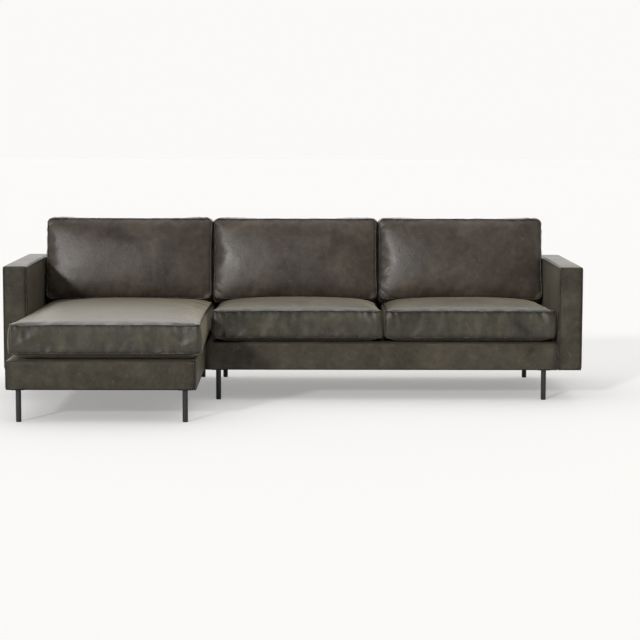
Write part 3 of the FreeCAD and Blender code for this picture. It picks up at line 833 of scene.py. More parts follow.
def apply_modifiers(piece: bpy.types.Object) -> None:
    """Replace a piece's mesh by what its modifiers make of it, and remove them.

    Args:
        piece: The piece.
    """
    mesh = evaluated_mesh(piece, piece.name)
    piece.modifiers.clear()
    piece.data = mesh


def subdivide(piece: bpy.types.Object) -> None:
    """Subdivide a piece once and apply it.

    Args:
        piece: The piece.
    """
    modifier = piece.modifiers.new("finer", "SUBSURF")
    modifier.levels = modifier.render_levels = 1
    apply_modifiers(piece)


class Side(Enum):
    """Sides of a cushion or box: the axis that each lies across, and its low or high end."""

    LEFT = (0, 0)
    RIGHT = (0, 1)
    FRONT = (1, 0)
    REAR = (1, 1)
    TOP = (2, 1)


# Cushions


@dataclass(frozen=True)
class Inflation:
    """How a cushion's leather is blown out by its filling."""

    pressure: float = 4.0
    frames: int = 16
    # The furthest that a point moves.
    cap: float = 0.012
    # How much wider than its seams the leather is cut, as a share.
    ease: float = 0.016
    point_mass: float = 0.4
    tension: float = 60.0
    shear: float = 30.0
    bending: float = 5.0
    quality: int = 6

    def run(self, piece: bpy.types.Object, held: np.ndarray, seams: np.ndarray) -> None:
        """Blow out a closed mesh and keep what comes of it, within the cap.

        Args:
            piece: The closed cushion.
            held: From 0, free, to 1, fixed, for each point.
            seams: From 0 in a panel to 1 on a seam, for each point.
        """
        start = read_points(piece.data)
        for name, weights in (("held", held), ("tight", seams)):
            group = piece.vertex_groups.new(name=name)
            for weight in np.unique(np.round(weights, 2)):
                chosen = np.nonzero(np.round(weights, 2) == weight)[0]
                group.add([int(i) for i in chosen], float(weight), "REPLACE")
        modifier = piece.modifiers.new("filling", "CLOTH")
        cloth = modifier.settings
        cloth.quality = self.quality
        cloth.mass = self.point_mass
        cloth.tension_stiffness = cloth.compression_stiffness = self.tension
        cloth.shear_stiffness = self.shear
        cloth.bending_stiffness = self.bending
        cloth.use_pressure = True
        cloth.uniform_pressure_force = self.pressure
        cloth.vertex_group_mass = "held"
        cloth.vertex_group_shrink = "tight"
        cloth.shrink_min = -self.ease
        cloth.shrink_max = 0.0
        cloth.effector_weights.gravity = 0
        modifier.collision_settings.use_collision = False
        scene = bpy.context.scene
        scene.frame_start, scene.frame_end = 1, self.frames
        for number in range(1, self.frames + 1):
            scene.frame_set(number)
        moved = read_points(evaluated_mesh(piece, piece.name + "_blown"))
        piece.modifiers.clear()
        piece.vertex_groups.clear()
        scene.frame_set(1)
        change = moved - start
        far = np.linalg.norm(change, axis=1)
        kept = self.cap * np.tanh(far / self.cap) / np.maximum(far, TINY)
        write_points(piece.data, start + change * kept[:, None])


@dataclass
class CushionShape:
    """Sizes of a boxed cushion in its own frame: across, along and up from its rest side."""

    low: Place
    high: Place
    lower_seam: float
    upper_seam: float
    drop: float
    crown: float
    belly: float
    belly_run: float
    corner: float
    # How far each side's middle is drawn in.
    draws: dict[Side, float]
    step: float = 0.013
    # The power that makes the crown fuller across, and its share along.
    fullness: float = 3.0
    length_share: float = 0.75
    inset: float = 0.004

    def outline(self, places: np.ndarray, side: Side) -> np.ndarray:
        """Give one side of the seam, from the middle of one round corner to the next.

        Args:
            places: Places along the side from 0 to 1.
            side: The side, which runs in the direction of +X or +Y.

        Returns:
            Rows of across and along.
        """
        axis, end = side.value
        start, stop = self.low[1 - axis], self.high[1 - axis]
        r = self.corner
        arc = r * math.pi / 4
        straight = stop - start - 2 * r
        along = places * (straight + 2 * arc)
        run, depth = np.empty_like(along), np.zeros_like(along)
        first, last = along < arc, along > arc + straight
        middle = ~(first | last)
        turn = (arc - along[first]) / r
        run[first] = start + r - r * np.sin(turn)
        depth[first] = r - r * np.cos(turn)
        turn = (along[last] - arc - straight) / r
        run[last] = stop - r + r * np.sin(turn)
        depth[last] = r - r * np.cos(turn)
        run[middle] = start + r + (along[middle] - arc)
        share = (along[middle] - arc) / straight
        depth[middle] = self.draws.get(side, 0.0) * 4 * share * (1 - share)
        depth = depth + self.inset * np.clip(np.minimum(run - start, stop - run) / r, 0, 1)
        other = (self.low, self.high)[end][axis] + (1 - 2 * end) * depth
        return np.stack([run, other] if axis == 1 else [other, run], axis=1)

    def plan(self) -> np.ndarray:
        """Spread a grid of points inside the seam.

        Returns:
            Rows and columns of across and along.
        """
        columns = spaced(self.high[0] - self.low[0], self.step, SEAM_LINES)
        rows = spaced(self.high[1] - self.low[1], self.step, SEAM_LINES)
        front, rear = self.outline(columns, Side.FRONT), self.outline(columns, Side.REAR)
        left, right = self.outline(rows, Side.LEFT), self.outline(rows, Side.RIGHT)
        u, v = columns[None, :, None], rows[:, None, None]
        ruled = ((1 - v) * front[None] + v * rear[None]
                 + (1 - u) * left[:, None] + u * right[:, None])
        corners = ((1 - u) * (1 - v) * front[0] + u * (1 - v) * front[-1]
                   + (1 - u) * v * rear[0] + u * v * rear[-1])
        return ruled - corners

    def seam_height(self, along: np.ndarray) -> np.ndarray:
        """Height of the upper seam, which drops towards the rear."""
        share = (along - self.low[1]) / (self.high[1] - self.low[1])
        return self.upper_seam - self.drop * share

    def top_height(self, across: np.ndarray, along: np.ndarray) -> np.ndarray:
        """Height of the crowned top at places on the plan.

        Args:
            across: Places from left to right.
            along: Places from front to rear.

        Returns:
            Heights above the rest side.
        """
        xi = np.clip(2 * (across - self.low[0]) / (self.high[0] - self.low[0]) - 1, -1, 1)
        eta = np.clip(2 * (along - self.low[1]) / (self.high[1] - self.low[1]) - 1, -1, 1)
        swell = ((1 - np.abs(xi) ** self.fullness)
                 * (1 - np.abs(eta) ** (self.fullness * self.length_share)))
        return self.seam_height(along) + self.crown * swell

    def bottom_height(self, across: np.ndarray, along: np.ndarray) -> np.ndarray:
        """Height of the belly, flat in the middle and rising to the lower seam.

        Args:
            across: Places from left to right.
            along: Places from front to rear.

        Returns:
            Heights above the rest side.
        """
        gap_x = np.minimum(across - self.low[0], self.high[0] - across)
        gap_y = np.minimum(along - self.low[1], self.high[1] - along)
        share = [1 - np.clip(1 - gap / self.belly_run, 0, 1) ** 2 for gap in (gap_x, gap_y)]
        return self.lower_seam - self.belly * share[0] * share[1]


@dataclass(frozen=True)
class Crease:
    """A soft fold pressed into a cushion's leather, placed from the cushion's left edge."""

    start: Place
    end: Place
    bow: float
    width: float
    depth: float
    # The ridge beside the fold: its place in widths, and its height against the depth.
    ridge_place: float = 1.6
    ridge_share: float = 0.6
    # The ends of the fold keep this share of its run, so that they fade and don't vanish.
    fade: float = 0.03

    def pressed(self, places: np.ndarray) -> np.ndarray:
        """Depth of the fold at places on the cushion's plan.

        Args:
            places: Rows of across, from the left edge, and along.

        Returns:
            How far each place goes in.
        """
        start, end = np.array(self.start), np.array(self.end)
        length = np.linalg.norm(end - start)
        way = (end - start) / length
        side = np.array([-way[1], way[0]])
        offset = places - start
        share = np.clip(offset @ way / length, 0, 1)
        apart = offset @ side - self.bow * 4 * share * (1 - share)
        over = np.abs(offset @ way / length - share) * length
        fold, ridge = [np.exp(-(((apart - shift) ** 2 + over ** 2) / self.width ** 2))
                       for shift in (0, self.ridge_place * self.width)]
        strength = np.sin(np.pi * np.clip(share, self.fade, 1 - self.fade))
        return self.depth * (fold - self.ridge_share * ridge) * strength


@dataclass(frozen=True)
class Wrinkles:
    """Puckers along a cushion's seams and dents over its filling."""

    pucker: float = 0.008
    pucker_wave: float = 0.021
    pucker_seed: float = 0.5
    # Puckers stand nearly upright: their pattern slants by this share of the height.
    pucker_slant: float = 0.2
    # Puckers begin this far from a seam and fade over this reach.
    pucker_start: float = 0.005
    pucker_reach: float = 0.022
    # Their strength along the sides, and what a corner adds within its reach.
    side_strength: float = 0.25
    corner_strength: float = 1.6
    corner_reach: float = 0.16
    dent: float = 1.6 * MM
    dent_wave: float = 0.16
    fine_dent: float = 0.6 * MM
    fine_wave: float = 0.055
    fine_seed: int = 9
    # Dents grow over this reach from the edges, which counts up to the limit.
    dent_reach: float = 0.03
    reach_limit: float = 0.2

    def puckered(self, own: np.ndarray, near: np.ndarray, corner_gap: np.ndarray,
                 seed: int) -> np.ndarray:
        """Height of the puckers on the boxing.

        Args:
            own: Points in the cushion's own frame.
            near: Distance of each point from the nearer seam.
            corner_gap: Distance of each point from the nearest corner.
            seed: The cushion's seed.

        Returns:
            How far each point comes out.
        """
        around = own[:, 0] + own[:, 1]
        stripes = np.column_stack([around, np.zeros(len(own)), own[:, 2] * self.pucker_slant])
        ripple = soft_noise(stripes, self.pucker_wave, seed + self.pucker_seed)
        fade = np.exp(-near / self.pucker_reach) * (1 - np.exp(-near / self.pucker_start))
        corner = np.clip(1 - corner_gap / self.corner_reach, 0, 1)
        strength = self.side_strength + self.corner_strength * corner
        return ripple * fade * self.pucker * strength

    def dented(self, points: np.ndarray, inside: np.ndarray, seed: int) -> np.ndarray:
        """Height of the soft dents in the panels.

        Args:
            points: Points of the cushion.
            inside: Distance of each point from the cushion's edges.
            seed: The cushion's seed.

        Returns:
            How far each point comes out.
        """
        dents = soft_noise(points, self.dent_wave, seed) * self.dent
        dents += soft_noise(points, self.fine_wave, seed + self.fine_seed) * self.fine_dent
        return dents * (1 - np.exp(-np.minimum(inside, self.reach_limit) / self.dent_reach))


@dataclass
class Cushion:
    """A loose boxed cushion with piped seams."""

    name: str
    shape: CushionShape
    placement: Matrix
    seed: int
    # Gives the height of what the cushion rests on, under each point.
    floor: Callable[[np.ndarray], np.ndarray]
    side_limits: Place
    inflation: Inflation = Inflation()
    wrinkles: Wrinkles = Wrinkles()
    creases: tuple[Crease, ...] = ()
    bulge: float = 0.006
    # The power that makes the bulge fuller.
    bulge_power: float = 2.5
    boxing_step: float = 0.0115
    # How firmly the lower and upper seams are held while the cushion is blown out.
    lower_hold: float = 0.6
    upper_hold: float = 0.35
    groove: float = 1.2 * MM
    piping_radius: float = 3.8 * MM
    seams: list[list[int]] = field(default_factory=list)
    piece: bpy.types.Object = field(init=False)

    def build(self) -> None:
        """Make the cushion's closed form, blow it out and press its folds in."""
        grid = self.shape.plan()
        height, width = grid.shape[:2]
        flat = grid.reshape(-1, 2)
        top = np.column_stack([flat, self.shape.top_height(flat[:, 0], flat[:, 1])])
        bottom = np.column_stack([flat, self.shape.bottom_height(flat[:, 0], flat[:, 1])])
        rim = self._rim(height, width)
        upper, lower = top[rim], bottom[rim]
        lower[:, 2] = self.shape.lower_seam
        upper[:, 2] = self.shape.seam_height(upper[:, 1])
        top[rim], bottom[rim] = upper, lower
        out = self._outward(upper[:, :2])
        bands = []
        for share in spaced(self.shape.upper_seam - self.shape.lower_seam, self.boxing_step,
                            SEAM_LINES)[1:-1]:
            row = upper * (1 - share) + lower * share
            row[:, :2] += out * self.bulge * (1 - abs(2 * share - 1) ** self.bulge_power)
            bands.append(row)
        points = np.concatenate([top, *bands, bottom])
        faces, panels = self._faces(height, width, rim, len(bands), len(top))
        self.piece = mesh_object(self.name, self._placed(points), faces)
        mesh = self.piece.data
        set_places(mesh, panels, self.seed)
        base = len(top) + len(bands) * len(rim)
        self.seams = [list(rim), [base + i for i in rim]]
        seam, held = np.zeros(len(points)), np.zeros(len(points))
        seam[self.seams[0]] = seam[self.seams[1]] = 1
        held[base:] = 1
        held[self.seams[1]] = self.lower_hold
        held[self.seams[0]] = self.upper_hold
        self.inflation.run(self.piece, held, seam)
        self._settle()
        set_values(mesh, "seam", seam)
        set_values(mesh, "band", np.repeat([0.0, 1.0, 0.0],
                                           [len(top), base - len(top), len(bottom)]))
        # Painted shade and dirt along the seams, which the leather darkens by.
        set_values(mesh, "shade", self._shade(height, width, len(rim), len(bands)))
        write_points(mesh, read_points(mesh)
                     - read_normals(mesh) * (seam * self.groove)[:, None])
        self._set_sharp()
        subdivide(self.piece)
        self._wrinkle()

    def dress(self, leather: bpy.types.Material, piping_finish: bpy.types.Material) -> None:
        """Sew on the piping, put on the leather and give the cushion to its body.

        Args:
            leather: The cushion's material.
            piping_finish: The material of its piping.
        """
        self.piece.data.materials.clear()
        self.piece.data.materials.append(leather)
        points = read_points(self.piece.data)
        piping = PathMaker(PathKind.PIPING).lay(
            self.name + "_piping", [points[loop] for loop in self.seams], True,
            self.piping_radius, PIPING_STEP, PIPING_STEP, piping_finish)
        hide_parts(self.name + "_cover", self.name + "_fill")
        for piece in (self.piece, piping):
            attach(piece, self.name)
        log.info("%s: %d faces", self.name, len(self.piece.data.polygons))

    def _rim(self, height: int, width: int) -> list[int]:
        """List the grid's outer points in order, counter-clockwise from the front left.

        Args:
            height: Rows of the grid.
            width: Columns of the grid.

        Returns:
            Point numbers.
        """
        rim = list(range(width))
        rim += [row * width + width - 1 for row in range(1, height)]
        rim += [(height - 1) * width + i for i in range(width - 2, -1, -1)]
        rim += [row * width for row in range(height - 2, 0, -1)]
        return rim

    def _shade(self, height: int, width: int, rim: int, bands: int) -> np.ndarray:
        """Tell how much painted shade and dirt each point gets, by how many rows it lies from a
        seam.

        Args:
            height: Rows of the grid.
            width: Columns of the grid.
            rim: Points round the grid.
            bands: Rows of points between the two seams.

        Returns:
            Shades from 0 to 1, in the order of the points.
        """
        steps = np.array(PAINTED_SEAM_SHADES)
        row, column = np.mgrid[0:height, 0:width]
        ring = np.minimum(np.minimum(row, column),
                          np.minimum(height - 1 - row, width - 1 - column))
        flat = steps[np.minimum(ring, len(steps) - 1)].ravel()
        band = np.arange(bands)
        side = steps[np.minimum(np.minimum(band + 1, bands - band), len(steps) - 1)]
        return np.concatenate([flat, np.repeat(side, rim), flat])

    def _outward(self, line: np.ndarray) -> np.ndarray:
        """Directions out of a closed line that runs counter-clockwise.

        Args:
            line: Rows of across and along.

        Returns:
            Rows of across and along, each of length 1.
        """
        tangent = np.roll(line, -1, axis=0) - np.roll(line, 1, axis=0)
        tangent /= np.linalg.norm(tangent, axis=1)[:, None]
        return np.stack([tangent[:, 1], -tangent[:, 0]], axis=1)

    def _faces(self, height: int, width: int, rim: list[int], bands: int,
               top_count: int) -> tuple[list[tuple[int, ...]], np.ndarray]:
        """List the faces of the top, the boxing and the bottom.

        Args:
            height: Rows of the grid.
            width: Columns of the grid.
            rim: The grid's outer points in order.
            bands: Rows of points between the two seams.
            top_count: Points in the top.

        Returns:
            The faces, and a panel number for each: 0 the top, 1 the bottom, 2 to 5 the boxing.
        """
        faces, panels = [], []
        count = len(rim)
        base = top_count + bands * count
        for row in range(height - 1):
            for column in range(width - 1):
                a = row * width + column
                faces.append((a, a + 1, a + width + 1, a + width))
                panels.append(0)
                faces.append((base + a, base + a + width, base + a + width + 1, base + a + 1))
                panels.append(1)
        loops = [rim]
        loops += [list(range(top_count + k * count, top_count + (k + 1) * count))
                  for k in range(bands)]
        loops.append([base + i for i in rim])
        corners = (width - 1, width + height - 2, 2 * width + height - 3)
        for above, below in zip(loops, loops[1:]):
            for i in range(count):
                following = (i + 1) % count
                faces.append((above[i], below[i], below[following], above[following]))
                panels.append(2 + sum(i >= corner for corner in corners))
        return faces, np.array(panels)

    def _placed(self, points: np.ndarray) -> np.ndarray:
        """Move points from the cushion's own frame to the sofa's."""
        turn = np.array(self.placement.to_3x3())
        return points @ turn.T + np.array(self.placement.translation)

    def _settle(self) -> None:
        """Keep the cushion off what it rests on and off its neighbours."""
        points = read_points(self.piece.data)
        write_points(self.piece.data, self._kept_off(points))

    def _kept_off(self, points: np.ndarray) -> np.ndarray:
        """Hold points above what the cushion rests on and between its neighbours.

        Args:
            points: Points of the cushion, changed in place.

        Returns:
            The same points.
        """
        points[:, 2] = np.maximum(points[:, 2], self.floor(points))
        points[:, 0] = np.clip(points[:, 0], *self.side_limits)
        return points

    def _set_sharp(self) -> None:
        """Mark the seams as sharp, creased edges."""
        mesh = self.piece.data
        number = {point: i for i, loop in enumerate(self.seams) for point in loop}
        crease = mesh.attributes.new("crease_edge", "FLOAT", "EDGE")
        values = np.zeros(len(mesh.edges), np.float32)
        for edge in mesh.edges:
            a, b = edge.vertices
            if a in number and number[a] == number.get(b):
                edge.use_edge_sharp = True
                values[edge.index] = SEAM_CREASE
        crease.data.foreach_set("value", values)

    def _wrinkle(self) -> None:
        """Press soft dents, puckers at the seams and single folds into the leather."""
        mesh, shape = self.piece.data, self.shape
        points = read_points(mesh)
        own = ((points - np.array(self.placement.translation))
               @ np.array(self.placement.to_3x3()))
        below = np.clip(shape.seam_height(own[:, 1]) - own[:, 2], 0, None)
        above = np.clip(own[:, 2] - shape.lower_seam, 0, None)
        near = np.minimum(below, above)
        gap_x = np.minimum(own[:, 0] - shape.low[0], shape.high[0] - own[:, 0])
        gap_y = np.minimum(own[:, 1] - shape.low[1], shape.high[1] - own[:, 1])
        corner_gap = np.hypot(np.clip(gap_x, 0, None), np.clip(gap_y, 0, None))
        lift = read_values(mesh, "band") * self.wrinkles.puckered(own, near, corner_gap,
                                                                  self.seed)
        lift += self.wrinkles.dented(points, near + np.minimum(gap_x, gap_y), self.seed)
        crowned = own[:, 2] > shape.seam_height(own[:, 1]) - CREASE_MARGIN
        for crease in self.creases:
            lift -= crease.pressed(own[:, :2] - (shape.low[0], 0.0)) * crowned
        moved = self._kept_off(points + read_normals(mesh) * lift[:, None])
        on_seam = read_values(mesh, "seam") > ON_SEAM
        moved[on_seam] = points[on_seam]
        write_points(mesh, moved)


# Padded boxes: arms, backs and bases


@dataclass
class PaddedBox:
    """An upholstered box of leather over foam, with piping where its panels meet."""

    name: str
    low: Vector
    high: Vector
    replaced: tuple[str, ...]
    seed: int
    # How far sides swell, and the power that makes the swelling fuller.
    swell: dict[Side, float]
    # Seams with piping: the side that each lies on, and the sides that it runs along.
    piped: tuple[tuple[Side, tuple[Side, ...]], ...]
    swell_power: int = 5
    radius: float = 0.01
    # Lines of points across the rounded edge, as shares of its radius.
    edge_lines: Point = (0.3, 0.65, 1.0)
    step: float = 0.022
    ripple: float = 1.05 * MM
    ripple_wave: float = 0.15
    fine_share: float = 0.45
    fine_wave: float = 0.045
    fine_seed: int = 3
    # Below this height the sides stay flat, with a soft start over the fade.
    still_below: float = -math.inf
    still_fade: float = 0.03
    top_recess: Optional[tuple[Place, Place]] = None
    recess_depth: float = 1.3 * MM
    groove: float = 1.5 * MM
    # Painted shade and dirt beside a seam: the peak, less the distance from the seam in reaches,
    # up to 1.
    shade_peak: float = 1.25
    shade_reach: float = 11 * MM
    piping_radius: float = 3.4 * MM
    piece: bpy.types.Object = field(init=False)
    paths: list[np.ndarray] = field(default_factory=list)

    def build(self) -> None:
        """Make the box's rounded skin, swell its sides and find its seams."""
        low, high = np.array(self.low), np.array(self.high)
        r = self.radius
        lines = [low[a] + (high[a] - low[a]) * spaced(high[a] - low[a], self.step,
                                                      [share * r for share in self.edge_lines])
                 for a in range(3)]
        counts = [len(line) for line in lines]
        index, faces, panels = self._skin(counts)
        keys = np.array(list(index))
        flat = np.column_stack([lines[a][keys[:, a]] for a in range(3)])
        inner = np.clip(flat, low + r, high - r)
        away = flat - inner
        away /= np.maximum(np.linalg.norm(away, axis=1), TINY)[:, None]
        points = inner + away * r
        self._swell_out(points, flat, keys, counts)
        if self.top_recess:
            (x0, y0), (x1, y1) = self.top_recess
            inside = ((keys[:, 2] == counts[2] - 1) & (points[:, 0] > x0) & (points[:, 0] < x1)
                      & (points[:, 1] > y0) & (points[:, 1] < y1))
            points[inside, 2] -= self.recess_depth
        self.piece = mesh_object(self.name, points, faces)
        set_places(self.piece.data, np.array(panels), self.seed)
        on_seam = np.zeros(len(points), bool)
        shade = np.zeros(len(points))
        for side, run in self.piped:
            path = self._edge_path(index, counts, side, run)
            on_seam[path] = True
            self.paths.append(points[path])
            # Painted shade and dirt, darkest at the seam and fading over the reach.
            apart = np.linalg.norm(points[:, None] - points[path][None], axis=2).min(axis=1)
            shade = np.maximum(shade, np.clip(self.shade_peak - apart / self.shade_reach, 0, 1))
        points[on_seam] -= (away * self.groove)[on_seam]
        write_points(self.piece.data, points)
        set_values(self.piece.data, "shade", shade)
        subdivide(self.piece)

    def dress(self, leather: bpy.types.Material, piping_finish: bpy.types.Material) -> None:
        """Sew on the piping, put on the leather and fix the box to the frame.

        Args:
            leather: The box's material.
            piping_finish: The material of its piping.
        """
        self.piece.data.materials.clear()
        self.piece.data.materials.append(leather)
        piping = PathMaker(PathKind.PIPING).lay(
            self.name + "_piping", self.paths, False, self.piping_radius, PIPING_STEP,
            PIPING_STEP, piping_finish)
        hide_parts(*self.replaced)
        for piece in (self.piece, piping):
            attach(piece, "frame")
        log.info("%s: %d faces", self.name, len(self.piece.data.polygons))

    def _skin(self, counts: list[int]) -> tuple[dict[tuple[int, ...], int],
                                                list[tuple[int, ...]], list[int]]:
        """Cover the outside of a grid with faces.

        Args:
            counts: Lines of the grid along each axis.

        Returns:
            Point numbers by place in the grid, the faces, and a panel number for each face.
        """
        index, faces, panels = {}, [], []
        for axis, end in product(range(3), (0, 1)):
            b, c = (axis + 1) % 3, (axis + 2) % 3
            for i, j in product(range(counts[b] - 1), range(counts[c] - 1)):
                ring = []
                for di, dj in ((0, 0), (1, 0), (1, 1), (0, 1)):
                    key = [0, 0, 0]
                    key[axis], key[b], key[c] = end * (counts[axis] - 1), i + di, j + dj
                    ring.append(index.setdefault(tuple(key), len(index)))
                faces.append(tuple(ring if end else ring[::-1]))
                panels.append(2 * axis + end)
        return index, faces, panels

    def _swell_out(self, points: np.ndarray, flat: np.ndarray, keys: np.ndarray,
                   counts: list[int]) -> None:
        """Swell the sides softly, with small ripples.

        Args:
            points: The skin's points, changed in place.
            flat: The same points before the edges were rounded.
            keys: Grid places of the points.
            counts: Lines of the grid along each axis.
        """
        low, high = np.array(self.low), np.array(self.high)
        share = 2 * (flat - low) / (high - low) - 1
        still = np.clip((flat[:, 2] - self.still_below) / self.still_fade, 0, 1)
        for side, amount in self.swell.items():
            axis, end = side.value
            b, c = (axis + 1) % 3, (axis + 2) % 3
            weight = ((1 - np.abs(share[:, b]) ** self.swell_power)
                      * (1 - np.abs(share[:, c]) ** self.swell_power))
            on = keys[:, axis] == end * (counts[axis] - 1)
            rough = soft_noise(points[on], self.ripple_wave, self.seed) * self.ripple
            rough += (soft_noise(points[on], self.fine_wave, self.seed + self.fine_seed)
                      * self.ripple * self.fine_share)
            points[on, axis] += (2 * end - 1) * (amount + rough) * weight[on] * still[on]

    def _edge_path(self, index: dict, counts: list[int], side: Side,
                   run: tuple[Side, ...]) -> list[int]:
        """Follow a seam up one edge, across and down another.

        Args:
            index: Point numbers by place in the grid.
            counts: Lines of the grid along each axis.
            side: The side that the seam lies on.
            run: The sides that it runs along, in order.

        Returns:
            Point numbers in order.
        """
        axis, end = side.value
        across = 1 - axis
        path = []
        for edge in run:
            key = [0, 0, 0]
            key[axis] = end * (counts[axis] - 1)
            if edge is Side.TOP:
                key[2] = counts[2] - 1
                moving, places = across, range(counts[across])
            else:
                edge_end = edge.value[1]
                key[across] = edge_end * (counts[across] - 1)
                moving, places = 2, range(counts[2])[::-1 if edge_end else 1]
            for place in places:
                key[moving] = place
                path.append(index[tuple(key)])
        return list(dict.fromkeys(path))


@dataclass
class StretchedCloth:
    """Black cloth stapled or sewn flat, over the springs or under the sofa."""

    name: str
    low: Vector
    high: Vector
    replaced: str
    rests_on: str
    # Square holes, each by its low and high corner.
    holes: tuple[tuple[Place, Place], ...] = ()
    faces_down: bool = False
    thickness: float = 0.5 * MM
    step: float = 0.03
    border_lines: Place = (0.004, 0.012)
    ripple: float = 0.2 * MM
    ripple_wave: float = 0.12
    seed: int = 4
    # Lines of the sheet keep this far from a hole's edge.
    line_gap: float = 2 * MM
    # Stitches or staples: distance from the edge, step, length, radius and depth in the cloth.
    stitch_inset: float = 0.006
    staple_inset: float = 0.02
    stitch_step: float = 7 * MM
    staple_step: float = 60 * MM
    stitch_length: float = 5 * MM
    staple_length: float = 10 * MM
    wire_radius: float = 0.45 * MM
    sunk: float = 0.1 * MM
    piece: bpy.types.Object = field(init=False)

    def build(self) -> None:
        """Make the cloth as a thin, slightly uneven sheet."""
        x, y = [self._lines(self.low[a], self.high[a], [corner[a] for hole in self.holes
                                                        for corner in hole]) for a in (0, 1)]
        level = (self.low.z + self.high.z) / 2
        grid = np.array([(a, b, level) for b in y for a in x])
        width = len(x)
        faces = []
        for row, column in product(range(len(y) - 1), range(width - 1)):
            middle_x = (x[column] + x[column + 1]) / 2
            middle_y = (y[row] + y[row + 1]) / 2
            if not any(x0 < middle_x < x1 and y0 < middle_y < y1
                       for (x0, y0), (x1, y1) in self.holes):
                first = row * width + column
                faces.append((first, first + 1, first + width + 1, first + width))
        grid[:, 2] += soft_noise(grid, self.ripple_wave, self.seed) * self.ripple
        self.piece = mesh_object(self.name, grid, faces)
        thick = self.piece.modifiers.new("thick", "SOLIDIFY")
        thick.thickness = self.thickness
        thick.offset = 0
        apply_modifiers(self.piece)

    def dress(self, finishes: Finishes) -> None:
        """Put on the cloth, fix its edge and give it to the frame.

        Args:
            finishes: The sofa's materials.
        """
        self.piece.data.materials.append(finishes.cloth)
        low, high = self.low, self.high
        if self.faces_down:
            inset, z = self.staple_inset, low.z + self.sunk
            step, length = self.staple_step, self.staple_length
            finish, slot = finishes.zinc, Slot.STAPLES
        else:
            inset, z = self.stitch_inset, high.z - self.sunk
            step, length = self.stitch_step, self.stitch_length
            finish, slot = finishes.cloth, Slot.LINING
        edge = np.array([(low.x + inset, low.y + inset, z), (high.x - inset, low.y + inset, z),
                         (high.x - inset, high.y - inset, z),
                         (low.x + inset, high.y - inset, z)])
        fixing = PathMaker(PathKind.STITCHES).lay(
            self.name + "_fixing", [edge], True, self.wire_radius, step, length, finish)
        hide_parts(self.replaced)
        for piece in (self.piece, fixing):
            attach(piece, "frame")

    def _lines(self, start: float, end: float, extra: list[float]) -> np.ndarray:
        """Divide a side of the cloth, with lines along the holes' edges.

        Args:
            start: Where the side starts.
            end: Where it ends.
            extra: Places of the holes' edges.

        Returns:
            Places in growing order.
        """
        even = start + (end - start) * spaced(end - start, self.step, self.border_lines)
        clear = [p for p in even if all(abs(p - e) > self.line_gap for e in extra)]
        inside = [e for e in set(extra) if start < e < end]
        return np.array(sorted(clear + inside))


# The sofa's sub-assemblies


